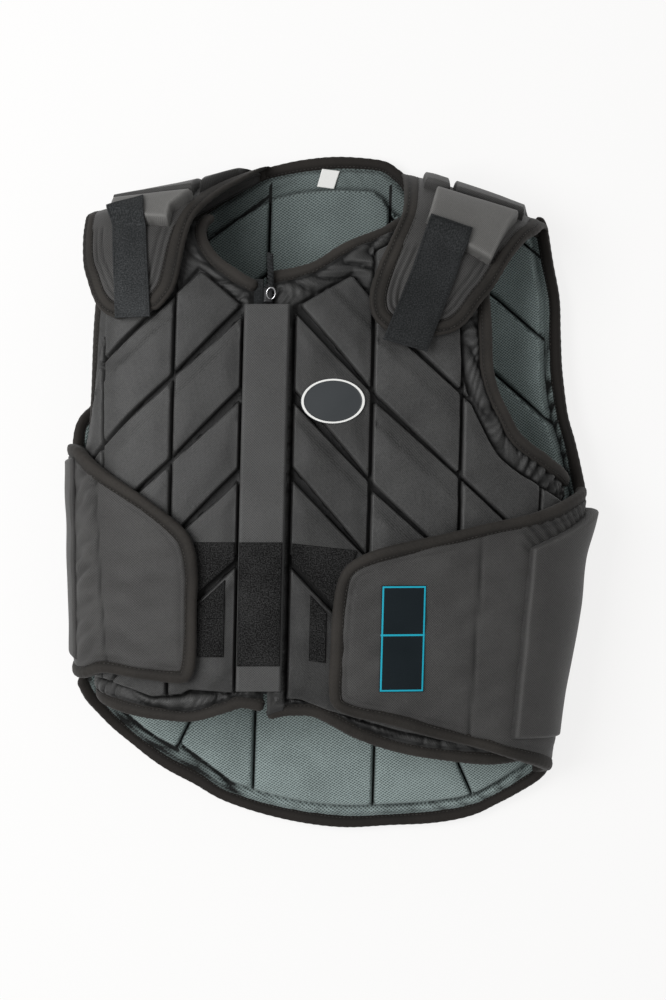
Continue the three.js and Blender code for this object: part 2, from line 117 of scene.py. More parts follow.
placeOn = {"left": leftPoint, "right": frontPoint}


# Lines in the pattern
def evenSteps(line, step):
    line = np.asarray(line, float)
    lengths = np.concatenate([[0], np.cumsum(np.hypot(*np.diff(line, axis=0).T))])
    count = max(2, int(round(lengths[-1] / step)))
    marks = np.linspace(0, lengths[-1], count + 1)
    return np.stack([np.interp(marks, lengths, line[:, k]) for k in (0, 1)], 1)


def smoothLine(points, step=2.5):  # even steps along a smooth line through a few points
    pts = np.array(points, float)
    last = len(pts) - 1
    t = np.linspace(0, last, 40 * last + 1)
    i = np.minimum(t.astype(int), last - 1)
    f = (t - i)[:, None]
    p0, p1, p2, p3 = pts[np.maximum(i - 1, 0)], pts[i], pts[i + 1], pts[np.minimum(i + 2, last)]
    v0, v1 = (p2 - p0) / 2, (p3 - p1) / 2
    curve = (2 * p1 - 2 * p2 + v0 + v1) * f**3 + (3 * p2 - 3 * p1 - 2 * v0 - v1) * f**2 + v0 * f + p1
    return evenSteps(curve, step)


def leftNormals(line):
    ahead = np.gradient(line, axis=0)
    ahead /= np.hypot(*ahead.T)[:, None]
    return np.stack([-ahead[:, 1], ahead[:, 0]], 1)


def offsetLine(line, distance):  # to the left of its direction when positive
    return line + leftNormals(line) * distance


def nearestOnLine(points, line):  # distance, nearest point and length along the line
    best = np.full(len(points), np.inf)
    near = np.zeros_like(points)
    along = np.zeros(len(points))
    travelled = 0.0
    for a, b in zip(line[:-1], line[1:]):
        step = b - a
        length = math.hypot(*step)
        if length < 1e-9:
            continue
        t = np.clip((points - a) @ step / length**2, 0, 1)
        spot = a + t[:, None] * step
        gap = np.hypot(*(points - spot).T)
        closer = gap < best
        best = np.where(closer, gap, best)
        near = np.where(closer[:, None], spot, near)
        along = np.where(closer, travelled + t * length, along)
        travelled += length
    return best, near, along


def insideOutline(points, outline):
    inside = np.zeros(len(points), bool)
    for a, b in zip(outline, np.roll(outline, -1, axis=0)):
        if a[1] == b[1]:
            continue
        spans = (a[1] > points[:, 1]) != (b[1] > points[:, 1])
        cross = a[0] + (points[:, 1] - a[1]) * (b[0] - a[0]) / (b[1] - a[1])
        inside ^= spans & (points[:, 0] < cross)
    return inside


def gradedSteps(low, high, lines, near, coarse):  # close together beside each line
    marks = sorted({low, high} | {line + s * n for line in lines for n in near for s in (-1, 1)})
    steps = [low]
    for mark in marks:
        gap = mark - steps[-1]
        if gap < 0.3 or mark > high:
            continue
        count = math.ceil(gap / coarse)
        base = steps[-1]
        steps += [base + gap * (k + 1) / count for k in range(count)]
    steps[-1] = high
    return np.array(steps)


def nearestMark(values, marks):  # signed distance from the nearest of a few marks
    marks = np.asarray(marks)
    return values - marks[np.abs(values[:, None] - marks).argmin(1)]


def smoothRise(t):
    t = np.clip(t, 0, 1)
    return t * t * (3 - 2 * t)


def roundRise(deep, radius):  # quarter-round shoulder of a soft edge
    t = np.clip(deep / radius, 0, 1)
    return np.sqrt(1 - (1 - t) ** 2)


def ripples(points, seed, shortest, longest, count=7):  # gentle seeded waves, about -1 to 1
    draw = np.random.RandomState(seed)
    total = np.zeros(len(points))
    for _ in range(count):
        turn, phase = draw.uniform(0, 2 * math.pi, 2)
        length = draw.uniform(shortest, longest)
        total += np.sin((points @ [math.cos(turn), math.sin(turn)]) * 2 * math.pi / length + phase)
    return total / math.sqrt(count) / 1.2


def gathers(along, seed, pitch):  # uneven ruffles along an edge, 0 to 1
    draw = np.random.RandomState(seed)
    a, b, c = draw.uniform(0, 2 * math.pi, 3)
    wander = 1.3 * np.sin(along / 23 + a) + 0.8 * np.sin(along / 9.1 + b)
    return 0.5 + 0.5 * np.sin(2 * math.pi * along / pitch + wander + c)


# Meshes from grids of cloth
def finishMesh(bm, name, materials, smooth=True):
    flat = bm.verts.layers.float_vector["flat"]
    uv = bm.loops.layers.uv.new("cloth")
    for face in bm.faces:
        face.smooth = smooth
        for loop in face.loops:
            u, v, d = loop.vert[flat]
            loop[uv].uv = (u + 0.6 * d) * 0.001, (v + 0.8 * d) * 0.001  # height keeps the weave even on walls
    mesh = bpy.data.meshes.new(name)
    bm.to_mesh(mesh)
    bm.free()
    for material in materials:
        mesh.materials.append(material)
    piece = bpy.data.objects.new(name, mesh)
    bpy.context.scene.collection.objects.link(piece)
    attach(piece, "root")
    return piece


def clothGrid(us, rows, warp, outline=None):  # grid in the pattern, trimmed and snapped to an outline
    bm = bmesh.new()
    bmesh.ops.create_grid(bm, x_segments=len(us) - 1, y_segments=len(rows) - 1, size=0.5)
    layer = bm.verts.layers.float_vector.new("flat")
    flat = warp(np.tile(us, len(rows)), np.repeat(rows, len(us)))
    if outline is not None:
        inside = insideOutline(flat, outline)
        closed = np.vstack([outline, outline[:1]])
        flat = np.where(inside[:, None], flat, nearestOnLine(flat, closed)[1])
        bm.verts.index_update()
        outer = [f for f in bm.faces if not any(inside[v.index] for v in f.verts)]
    for vert, (u, v) in zip(bm.verts, flat):
        vert[layer] = u, v, 0
    if outline is not None:
        bmesh.ops.delete(bm, geom=outer, context="FACES")
    return bm


cutting = {"jump": 9.0, "snap": 0.2}  # a field that leaps isn't a seam; corners this close to it stay put


def cutAlong(bm, field, values):  # cut the grid exactly where a field of the pattern takes each value
    layer = bm.verts.layers.float_vector["flat"]
    for value in values:
        bm.verts.index_update()
        level = field(np.array([v[layer][:2] for v in bm.verts])) - value
        marks = {}  # a dictionary keeps their order
        for edge in bm.edges[:]:
            a, b = edge.verts
            x, y = level[a.index], level[b.index]
            if x * y >= 0 or abs(x - y) > cutting["jump"]:
                continue
            if min(abs(x), abs(y)) < cutting["snap"]:
                marks[a if abs(x) < abs(y) else b] = True
                continue
            spot = a[layer].lerp(b[layer], x / (x - y))
            vert = bmesh.utils.edge_split(edge, a, x / (x - y))[1]
            vert[layer] = spot
            marks[vert] = True
        bmesh.ops.connect_verts(bm, verts=list(marks))


def refineWhere(bm, field, limit):  # finer cloth where it is gathered
    layer = bm.verts.layers.float_vector["flat"]
    bm.verts.index_update()
    loose = field(np.array([v[layer][:2] for v in bm.verts])) < limit
    for vert in bm.verts:
        vert.co = vert[layer]
    bmesh.ops.subdivide_edges(bm, edges=[e for e in bm.edges if all(loose[v.index] for v in e.verts)],
                              cuts=1, use_grid_fill=True)
    for vert in bm.verts:
        vert[layer] = vert.co


def softSolid(name, bm, place, upper, lower, materials,
              paint=None):  # two cloth faces sewn together at the edge
    flatLayer = bm.verts.layers.float_vector["flat"]
    toneLayer = bm.verts.layers.float.new("tone")
    copy = bmesh.ops.duplicate(bm, geom=bm.verts[:] + bm.edges[:] + bm.faces[:])
    under = {g for g in copy["geom"] if isinstance(g, bmesh.types.BMVert)}
    lowerFaces = [g for g in copy["geom"] if isinstance(g, bmesh.types.BMFace)]
    if paint:
        middles = np.array([np.mean([v[flatLayer][:2] for v in f.verts], 0) for f in bm.faces])
        for face, index in zip(bm.faces, paint(middles)):
            face.material_index = int(index)
    else:
        for face in lowerFaces:
            face.material_index = len(materials) - 1
    for skin, shape in ((set(bm.verts) - under, upper), (under, lower)):
        verts = [v for v in bm.verts if v in skin]
        flat = np.array([v[flatLayer][:2] for v in verts])
        height, tone, *unrolled = shape(flat)
        cloth = np.column_stack([unrolled[0], 0 * height] if unrolled else [flat, height])
        for vert, spot, point, shade in zip(verts, cloth, place(flat[:, 0], flat[:, 1], height), tone):
            vert.co = point
            vert[flatLayer] = spot
            vert[toneLayer] = shade
    rim = list(dict.fromkeys(v for e in bm.edges if e.is_boundary for v in e.verts))
    bmesh.ops.remove_doubles(bm, verts=rim, dist=0.00003)
    bmesh.ops.dissolve_degenerate(bm, edges=bm.edges[:], dist=0.00001)
    bmesh.ops.recalc_face_normals(bm, faces=bm.faces[:])
    return finishMesh(bm, name, materials)


def coons(bottom, right, top, left):  # map of the unit square onto four edges
    edges = [np.asarray(e, float) for e in (bottom, right, top, left)]

    def along(edge, t):
        steps = np.hypot(*np.diff(edge, axis=0).T)
        marks = np.concatenate([[0], np.cumsum(steps)]) / steps.sum()
        return np.stack([np.interp(t, marks, edge[:, k]) for k in (0, 1)], -1)

    def warp(s, t):
        low, high = along(edges[0], s), along(edges[2], s)
        far, near = along(edges[1], t), along(edges[3], t)
        s, t = s[..., None], t[..., None]
        sides = low * (1 - t) + high * t + near * (1 - s) + far * s
        ends = edges[0][0] * (1 - s) * (1 - t) + edges[0][-1] * s * (1 - t)
        return sides - ends - edges[2][0] * (1 - s) * t - edges[2][-1] * s * t

    return warp


def quad(corners):  # coons map of a plain four-cornered piece, counted round its edge
    a, b, c, d = corners
    return coons([a, b], [b, c], [d, c], [a, d])


def unitSteps(length, coarse, near=(0.5, 1.1, 1.9, 3.0, 4.6)):
    return gradedSteps(0, length, [0, length], near, coarse) / length


def softSlab(name, warp, size, place, low, high, materials, edge=2.5, coarse=4.0, relief=None, seat=None,
             paint=None, marks=((), ()), rim=None):
    # padded or flat piece over a warped square; seat is the height where its two faces meet
    us, vs = (np.unique(np.append(unitSteps(s, coarse), m)) for s, m in zip(size, marks))
    bm = clothGrid(us, vs, warp)
    if rim is None:
        loop = [(s, 0.0) for s in us] + [(1.0, t) for t in vs]
        loop += [(s, 1.0) for s in us[::-1]] + [(0.0, t) for t in vs[::-1]]
        rim = warp(np.array([p[0] for p in loop]), np.array([p[1] for p in loop]))
    meet = (low + high) / 2 if seat is None else seat
    turned = np.concatenate([[0], np.cumsum(np.hypot(*np.diff(rim, axis=0).T))])
    area = np.sum(rim[:, 0] * np.roll(rim[:, 1], -1) - np.roll(rim[:, 0], -1) * rim[:, 1])
    outward = leftNormals(rim) * -math.copysign(1, area)

    def upper(flat):
        deep, _, along = nearestOnLine(flat, rim)
        extra, tone = relief(flat, deep) if relief else (0.0, np.zeros(len(flat)))
        rise = roundRise(deep, edge)
        drop = (high - meet) * (1 - rise)  # the weave runs on down the wall
        away = np.stack([np.interp(along, turned, outward[:, k]) for k in (0, 1)], 1)
        unrolled = flat + drop[:, None] * away
        return meet + (high - meet + extra) * rise, tone, unrolled

    def lower(flat):
        deep = nearestOnLine(flat, rim)[0]
        return meet + (low - meet) * roundRise(deep, edge), np.zeros(len(flat))

    inked = (lambda flat: paint(flat, nearestOnLine(flat, rim)[0])) if paint else None
    return softSolid(name, bm, place, upper, lower, materials, inked)


# Shader groups and materials
def newGroup(name, inputs, outputs):
    tree = bpy.data.node_groups.new(name, "ShaderNodeTree")
    for label, kind in inputs:
        tree.interface.new_socket(label, in_out="INPUT", socket_type=kind)
    for label, kind in outputs:
        tree.interface.new_socket(label, in_out="OUTPUT", socket_type=kind)
    return tree, tree.nodes.new("NodeGroupInput"), tree.nodes.new("NodeGroupOutput")


def sums(tree, operation, *values):  # math node fed by sockets or plain numbers
    node = tree.nodes.new("ShaderNodeMath")
    node.operation = operation
    for socket, value in zip(node.inputs, values):
        if isinstance(value, (int, float)):
            socket.default_value = value
        else:
            tree.links.new(value, socket)
    return node.outputs[0]


def spread(tree, value, low, high, start=0.0, end=1.0):  # map a range
    node = tree.nodes.new("ShaderNodeMapRange")
    tree.links.new(value, node.inputs["Value"])
    for label, number in zip(("From Min", "From Max", "To Min", "To Max"), (start, end, low, high)):
        node.inputs[label].default_value = number
    return node.outputs["Result"]


def scaled(tree, vector, scale):
    node = tree.nodes.new("ShaderNodeVectorMath")
    node.operation = "SCALE"
    tree.links.new(vector, node.inputs[0])
    if isinstance(scale, (int, float)):
        node.inputs["Scale"].default_value = scale
    else:
        tree.links.new(scale, node.inputs["Scale"])
    return node.outputs[0]


def noiseValue(tree, vector, scale, detail=3.0, rough=0.55):
    node = tree.nodes.new("ShaderNodeTexNoise")
    node.inputs["Scale"].default_value = scale
    node.inputs["Detail"].default_value = detail
    node.inputs["Roughness"].default_value = rough
    tree.links.new(vector, node.inputs["Vector"])
    return node.outputs["Fac"]


vectorAndPitch = [("Vector", "NodeSocketVector"), ("Threads", "NodeSocketFloat")]
heightAndMask = [("Height", "NodeSocketFloat"), ("Mask", "NodeSocketFloat")]


def twillGroup():  # slanted ribs broken by the crossing threads
    tree, source, sink = newGroup("twillRibs", vectorAndPitch, heightAndMask)
    flat = tree.nodes.new("ShaderNodeSeparateXYZ")
    tree.links.new(scaled(tree, source.outputs["Vector"], source.outputs["Threads"]), flat.inputs[0])
    slant = sums(tree, "ADD", flat.outputs["X"], flat.outputs["Y"])
    rib = sums(tree, "SINE", sums(tree, "MULTIPLY", slant, 2 * math.pi))
    cross = sums(tree, "SINE", sums(tree, "MULTIPLY", flat.outputs["X"], 4 * math.pi))
    both = sums(tree, "ADD", rib, sums(tree, "MULTIPLY", cross, 0.8))
    height = spread(tree, both, 0.0, 1.0, -1.8, 1.8)
    tree.links.new(height, sink.inputs["Height"])
    tree.links.new(height, sink.inputs["Mask"])
    return tree


def meshGroup():  # open net: pale threads round small dark holes
    tree, source, sink = newGroup("airNet", vectorAndPitch, heightAndMask)
    turn = tree.nodes.new("ShaderNodeMapping")
    turn.inputs["Rotation"].default_value[2] = math.radians(38)
    turn.inputs["Scale"].default_value = (1.0, 1.45, 1.0)
    tree.links.new(scaled(tree, source.outputs["Vector"], source.outputs["Threads"]), turn.inputs["Vector"])
    cells = tree.nodes.new("ShaderNodeTexVoronoi")
    cells.voronoi_dimensions = "2D"
    cells.inputs["Scale"].default_value = 1.0
    cells.inputs["Randomness"].default_value = 0.12
    tree.links.new(turn.outputs[0], cells.inputs["Vector"])
    thread = spread(tree, cells.outputs["Distance"], 0.0, 1.0, 0.2, 0.5)
    tree.links.new(thread, sink.inputs["Height"])
    tree.links.new(thread, sink.inputs["Mask"])
    return tree


def pileGroup():  # short tangled loops
    tree, source, sink = newGroup("loopPile", vectorAndPitch, heightAndMask)
    place = scaled(tree, source.outputs["Vector"], source.outputs["Threads"])
    fuzz = noiseValue(tree, place, 1.0, 4.0, 0.7)
    cells = tree.nodes.new("ShaderNodeTexVoronoi")
    cells.inputs["Scale"].default_value = 0.8
    tree.links.new(place, cells.inputs["Vector"])
    height = sums(tree, "ADD", fuzz, sums(tree, "MULTIPLY", cells.outputs["Distance"], -0.5))
    tree.links.new(spread(tree, height, 0.0, 1.0, -0.1, 0.6), sink.inputs["Height"])
    tree.links.new(spread(tree, fuzz, 0.0, 1.0, 0.42, 0.72), sink.inputs["Mask"])
    return tree


def ribGroup():  # fine cords across a tape
    tree, source, sink = newGroup("tapeRibs", vectorAndPitch, heightAndMask)
    flat = tree.nodes.new("ShaderNodeSeparateXYZ")
    tree.links.new(scaled(tree, source.outputs["Vector"], source.outputs["Threads"]), flat.inputs[0])
    a = sums(tree, "SINE", sums(tree, "MULTIPLY", flat.outputs["X"], 2 * math.pi))
    b = sums(tree, "SINE", sums(tree, "MULTIPLY", flat.outputs["Y"], 2 * math.pi))
    height = spread(tree, sums(tree, "MULTIPLY", a, b), 0.0, 1.0, -1.0, 1.0)
    tree.links.new(height, sink.inputs["Height"])
    tree.links.new(height, sink.inputs["Mask"])
    return tree


def mottleGroup():  # broad shade changes and fine lint
    tree, source, sink = newGroup(
        "clothMottle", [("Vector", "NodeSocketVector")],
        [("Shade", "NodeSocketFloat"), ("Lint", "NodeSocketFloat")]
    )
    tree.links.new(spread(tree, noiseValue(tree, source.outputs["Vector"], 22.0), -1.0, 1.0, 0.3, 0.7),
                   sink.inputs["Shade"])
    fine = noiseValue(tree, source.outputs["Vector"], 950.0, 2.0, 0.6)
    tree.links.new(spread(tree, fine, -1.0, 1.0, 0.25, 0.75), sink.inputs["Lint"])
    return tree


groups = {"twill": twillGroup(), "net": meshGroup(), "pile": pileGroup(), "rib": ribGroup(),
          "mottle": mottleGroup()}

finishes = {  # colours are linear; pitch is the thread spacing in metres
    "nylon": {"weave": "twill", "pitch": 0.0020, "dark": (0.0163, 0.0163, 0.0163),
              "light": (0.0635, 0.0635, 0.0625),
              "rough": 0.50, "sheen": 0.05, "bump": 0.22, "shade": 0.12, "lint": 0.42, "spec": 0.30},
    "flapNylon": {"weave": "rib", "pitch": 0.0021, "dark": (0.022, 0.021, 0.021),
                  "light": (0.071, 0.070, 0.068),
                  "rough": 0.60, "sheen": 0.06, "bump": 0.25, "shade": 0.10, "lint": 0.24},
    "padNylon": {"weave": "rib", "pitch": 0.0016, "dark": (0.078, 0.077, 0.074),
                 "light": (0.158, 0.155, 0.149),
                 "rough": 0.60, "sheen": 0.06, "bump": 0.2, "shade": 0.08, "lint": 0.24},
    "placketNylon": {"weave": "rib", "pitch": 0.0021, "dark": (0.028, 0.028, 0.028),
                     "light": (0.088, 0.088, 0.087),
                     "rough": 0.66, "sheen": 0.06, "bump": 0.25, "shade": 0.08, "lint": 0.24},
    "edgeTape": {"weave": "rib", "pitch": 0.0012, "dark": (0.0095, 0.0083, 0.0074),
                 "light": (0.027, 0.0235, 0.021),
                 "rough": 0.72, "sheen": 0.04, "bump": 0.16, "shade": 0.16, "lint": 0.15, "spec": 0.15},
    "flapTape": {"weave": "rib", "pitch": 0.0012, "dark": (0.0135, 0.0122, 0.0110),
                 "light": (0.040, 0.0362, 0.0325),
                 "rough": 0.72, "sheen": 0.04, "bump": 0.16, "shade": 0.16, "lint": 0.2, "spec": 0.15},
    "strapTape": {"weave": "pile", "pitch": 0.0011, "dark": (0.011, 0.012, 0.0125),
                  "light": (0.046, 0.048, 0.050),
                  "rough": 0.86, "sheen": 0.02, "bump": 0.35, "shade": 0.10, "lint": 0.25, "spec": 0.12},
    "loopPile": {"weave": "pile", "pitch": 0.0010, "dark": (0.003, 0.003, 0.003),
                 "light": (0.058, 0.058, 0.058),
                 "rough": 0.92, "sheen": 0.0, "bump": 0.7, "shade": 0.08, "lint": 0.25, "spec": 0.06},
    "airMesh": {"weave": "net", "pitch": 0.0025, "dark": (0.058, 0.075, 0.073),
                "light": (0.296, 0.360, 0.353),
                "rough": 0.75, "sheen": 0.06, "bump": 0.35, "shade": 0.08, "lint": 0.05},
    "badgeGrey": {"weave": "rib", "pitch": 0.0009, "dark": (0.030, 0.034, 0.037),
                  "light": (0.046, 0.051, 0.055),
                  "rough": 0.40, "sheen": 0.0, "bump": 0.03, "shade": 0.06, "lint": 0.05},
    "labelCloth": {"weave": "rib", "pitch": 0.0008, "dark": (0.004, 0.007, 0.009),
                   "light": (0.012, 0.018, 0.022),
                   "rough": 0.55, "sheen": 0.0, "bump": 0.08, "shade": 0.06, "lint": 0.08, "spec": 0.1},
    "labelThread": {"weave": "rib", "pitch": 0.0008, "dark": (0.006, 0.29, 0.40),
                    "light": (0.012, 0.40, 0.54),
                    "rough": 0.55, "sheen": 0.0, "bump": 0.08, "shade": 0.06, "lint": 0.08},
    "ringMetal": {"weave": "rib", "pitch": 0.0015, "dark": (0.42, 0.42, 0.43), "light": (0.60, 0.60, 0.61),
                  "metal": 1.0,
                  "rough": 0.28, "sheen": 0.0, "bump": 0.02, "shade": 0.1, "lint": 0.1},
    "thread": {"weave": "rib", "pitch": 0.0006, "dark": (0.018, 0.017, 0.016),
               "light": (0.045, 0.042, 0.038),
               "rough": 0.6, "sheen": 0.0, "bump": 0.1, "shade": 0.05, "lint": 0.05},
    "whiteTape": {"weave": "rib", "pitch": 0.0007, "dark": (0.68, 0.68, 0.66), "light": (0.86, 0.86, 0.84),
                  "rough": 0.7, "sheen": 0.0, "bump": 0.08, "shade": 0.05, "lint": 0.05},
    "zipPlastic": {"weave": "rib", "pitch": 0.0012, "dark": (0.012, 0.012, 0.013),
                   "light": (0.028, 0.028, 0.030),
                   "rough": 0.42, "sheen": 0.0, "bump": 0.05, "shade": 0.1, "lint": 0.1},
}


def fabric(name):
    look = finishes[name]
    material = bpy.data.materials.new(name)
    material.use_nodes = True
    tree = material.node_tree
    shader = tree.nodes["Principled BSDF"]
    shader.inputs["Sheen Weight"].default_value = look["sheen"]
    shader.inputs["Sheen Roughness"].default_value = 0.45
    shader.inputs["Metallic"].default_value = look.get("metal", 0.0)
    shader.inputs["Specular IOR Level"].default_value = look.get("spec", 0.25)
    uv = tree.nodes.new("ShaderNodeUVMap")
    uv.uv_map = "cloth"
    weave = tree.nodes.new("ShaderNodeGroup")
    weave.node_tree = groups[look["weave"]]
    weave.inputs["Threads"].default_value = 1 / look["pitch"]
    tree.links.new(uv.outputs[0], weave.inputs["Vector"])
    coords = tree.nodes.new("ShaderNodeTexCoord")
    mottle = tree.nodes.new("ShaderNodeGroup")
    mottle.node_tree = groups["mottle"]
    tree.links.new(coords.outputs["Object"], mottle.inputs["Vector"])
    tone = tree.nodes.new("ShaderNodeAttribute")
    tone.attribute_name = "tone"
    shade = sums(tree, "MULTIPLY", mottle.outputs["Shade"], look["shade"] * 2)
    lint = sums(tree, "MULTIPLY", mottle.outputs["Lint"], look["lint"])
    amount = sums(tree, "ADD", sums(tree, "ADD", weave.outputs["Mask"], shade), lint)
    ramp = tree.nodes.new("ShaderNodeMix")
    ramp.data_type = "RGBA"
    ramp.clamp_factor = True
    ramp.inputs["A"].default_value = (*look["dark"], 1)
    ramp.inputs["B"].default_value = (*look["light"], 1)
    tree.links.new(amount, ramp.inputs["Factor"])
    # multiplies the base colour by the tone attribute, which holds painted light and shade: painted
    # highlights on edges and crests, painted shade in grooves, creases and recesses
    paintedLight = tree.nodes.new("ShaderNodeMix")
    paintedLight.data_type = "RGBA"
    paintedLight.blend_type = "MULTIPLY"
    paintedLight.inputs["Factor"].default_value = 1.0
    tree.links.new(ramp.outputs["Result"], paintedLight.inputs["A"])
    strength = spread(tree, tone.outputs["Fac"], 0.02, 1.98, -1.0, 1.0)
    grey = tree.nodes.new("ShaderNodeCombineColor")
    for channel in grey.inputs:
        tree.links.new(strength, channel)
    tree.links.new(grey.outputs[0], paintedLight.inputs["B"])
    tree.links.new(paintedLight.outputs["Result"], shader.inputs["Base Color"])
    rough = sums(tree, "ADD", sums(tree, "MULTIPLY", mottle.outputs["Shade"], 0.06), look["rough"])
    tree.links.new(rough, shader.inputs["Roughness"])
    bump = tree.nodes.new("ShaderNodeBump")
    bump.inputs["Strength"].default_value = look["bump"]
    bump.inputs["Distance"].default_value = look["pitch"] * 0.35
    tree.links.new(sums(tree, "ADD", weave.outputs["Height"], lint), bump.inputs["Height"])
    tree.links.new(bump.outputs[0], shader.inputs["Normal"])
    return material


materials = {name: fabric(name) for name in finishes}
print("materials ready:", ", ".join(materials))


# Edge lines of the cut pieces: girth, length
frontEdges = {
    "left": {
        "hem": [(-5, -174), (5, -171), (16, -170), (32, -175), (57, -182), (83, -180), (119, -174),
                (160, -168), (203, -160)],
        "armhole": [(203, 44), (184, 58), (173, 84), (165, 119), (159, 165), (148, 215)],
        "neck": [(50, 262), (56, 250), (58, 232), (53, 214), (42, 198), (24, 185), (9, 178)],
    },
    "right": {
        "hem": [(8, -181), (16, -178), (30, -176), (52, -178), (87, -197), (122, -209), (158, -216),
                (210, -220), (285, -219)],
        "armhole": [(290, 14), (272, 22), (253, 30), (243, 36), (231, 42), (216, 54), (206, 71), (197, 88),
                    (191, 105), (188, 122), (186, 155), (184, 180), (178, 215)],
        "neck": [(117, 254), (108, 243), (97, 233), (68, 216.5), (44, 198.5), (26, 191), (10, 187),
                 (2, 186)],
    },
}
backEdges = {
    "tail": [(-215, -156), (-206, -171), (-194, -183), (-172, -203), (-137, -227.5), (-105, -245),
             (-74, -263), (-21, -278.5), (25, -284), (67, -283), (104, -280.5), (139, -275),
             (163, -265), (183, -254), (204, -240), (211, -227), (213, -204)],
    "armhole_right": [(241, 4), (236, 20), (227, 50), (217, 76), (210, 110), (208, 145), (206, 176),
                      (199, 206), (193, 232), (190, 242), (185, 248)],
    "collar": [(70, 273), (65, 281), (56, 289), (43, 296), (8, 298), (-24, 296), (-46, 292), (-62, 287),
               (-81, 276), (-103, 263), (-125, 248)],
    "armhole_left": [(-184, 218), (-189, 165), (-191, 120), (-198, 95), (-209, 80), (-219, 71), (-224, 60),
                     (-225, 42)],
}
frontLines = {side: {edge: smoothLine(points) for edge, points in edges.items()}
              for side, edges in frontEdges.items()}
backLines = {edge: smoothLine(points) for edge, points in backEdges.items()}

# Front panels
frontQuilt = {
    "cloth": -11.0,  # height of the sewn edge
    "base": -9.5,
    "inside": -22.0,
    "edgeRadius": 1.6,
    "crown": 1.3,
    "tilt": 0.9,
    "grid": 2.7,
    "puff": 5.2,
    "wrinkle": 0.7,
    # fineTone and foldTone are painted light and shade on the gathered margins
    "fineTone": 0.2,
    "seamMargin": 6.0,
    "zipStrip": 4.5,  # how high the cloth stands beside the zip on the right
    "zipShade": -0.26,
    "elastic": {"from": 214.0, "to": 268.0, "pitch": 10.5, "high": 3.2},  # gathers beside the right armhole
    "armholeCalm": 0.85,  # smooth cloth beside the left armhole
    "foldPitch": 22.0,
    "foldTone": -0.28,
    "left": {
        "columns": [20.0, 77.0, 140.0, 200.0],
        "rows": [298.0, 228.0, 158.0, 88.0, 20.8, -50.0],
        "drop": ([20.5, 75.0, 80.0, 140.0, 210.0], [0.0, 52.5, 58.0, 112.0, 170.0]),
        "top": [(21, 162), (58, 193), (77, 172)],  # peak of the block beside the neck
        "foot": ([0, 58, 65, 90, 108, 135, 205], [-163, -159, -163, -165, -159, -152, -146]),
        "margin": {"armhole": 19.0, "neck": 17.0},
        "grooveHalf": ([20.0, 40.0, 70.0, 77.0, 79.0, 100.0, 140.0, 210.0],
                       [3.5, 3.1, 1.3, 0.8, 1.7, 1.6, 0.8, 1.5]),
        "columnHalf": 0.8,
    },
    "right": {
        "columns": [24.5, 90.0, 167.0, 240.0, 300.0],
        "rows": [231.0, 161.0, 86.5, 22.4, -50.0],
        "drop": ([24.5, 87.0, 93.0, 165.0, 265.0], [0.0, 67.5, 76.5, 140.0, 228.0]),
        "top": [(25, 161), (71, 188), (90, 166)],
        "foot": ([0, 35, 60, 78, 122, 158, 290], [-166, -167, -177, -182, -195, -202, -205]),
        "margin": {"armhole": 22.5, "neck": 17.0},
        "grooveHalf": ([24.5, 60.0, 88.0, 92.0, 120.0, 166.0, 260.0], [3.4, 2.4, 0.9, 2.2, 1.6, 0.9, 1.4]),
        "columnHalf": 1.2,
    },
}


def leftOf(points, a, b):  # signed distance to the left of the line from a to b
    a, b = np.array(a, float), np.array(b, float)
    step = (b - a) / math.hypot(*(b - a))
    return step[0] * (points[:, 1] - a[1]) - step[1] * (points[:, 0] - a[0])


def frontSeams(flat, quilt):  # signed distance from the nearest upright seam and from the nearest slanted one
    u, v = flat.T
    slope = np.interp(u + 0.5, *quilt["drop"]) - np.interp(u - 0.5, *quilt["drop"])
    level = v + np.interp(u, *quilt["drop"])
    slanted = np.where(u < quilt["columns"][1], nearestMark(level, quilt["rows"][1:]),
                       nearestMark(level, quilt["rows"]))
    return nearestMark(u, quilt["columns"][1:-1]), slanted / np.hypot(1, slope)


def blockDepth(flat, quilt):  # distance from the nearest sewn groove, and each block's own tilt
    u, v = flat.T
    upright, slanted = np.abs(frontSeams(flat, quilt))
    deep = np.minimum(upright - quilt["columnHalf"], slanted - np.interp(u, *quilt["grooveHalf"]))
    level = v + np.interp(u, *quilt["drop"])
    column = np.digitize(u, quilt["columns"])
    row = np.digitize(-level, [-r for r in quilt["rows"]])
    tilt = np.random.RandomState(11).uniform(-1, 1, (8, 16, 2))[column, row]
    middle = np.array([quilt["columns"][0] - 25] + quilt["columns"])[column] + 30
    lean = np.clip((u - middle) / 35, -1, 1) * tilt[:, 0] + (np.mod(level, 70) - 35) / 35 * tilt[:, 1]
    return deep, lean


def frontDepth(flat, side):  # depth inside the foam's rim, distance from the grooves, tilt
    quilt = frontQuilt[side]
    u, v = flat.T
    rim = np.minimum(u - quilt["columns"][0], (v - np.interp(u, *quilt["foot"])) * 0.96)
    rim = np.minimum(rim, nearestOnLine(flat, frontLines[side]["armhole"])[0] - quilt["margin"]["armhole"])
    edges = frontLines[side]
    for a, b in ((edges["hem"][-1], edges["armhole"][0]), (edges["armhole"][-1], edges["neck"][0])):
        rim = np.minimum(rim, nearestOnLine(flat, np.array([a, b]))[0] - frontQuilt["seamMargin"])
    inner, peak, outer = quilt["top"]
    topped = np.minimum(leftOf(flat, peak, inner), leftOf(flat, outer, peak))
    beyond = nearestOnLine(flat, frontLines[side]["neck"])[0] - quilt["margin"]["neck"]
    return (np.minimum(rim, np.where(u < quilt["columns"][1], topped, beyond)), *blockDepth(flat, quilt))


# crease, foot and seam set painted shade, crest a painted highlight
gathered = {"finePitch": 7.5, "crease": 0.9, "crest": 0.4, "foot": 0.85, "seam": 0.6, "seamIn": 6.6}


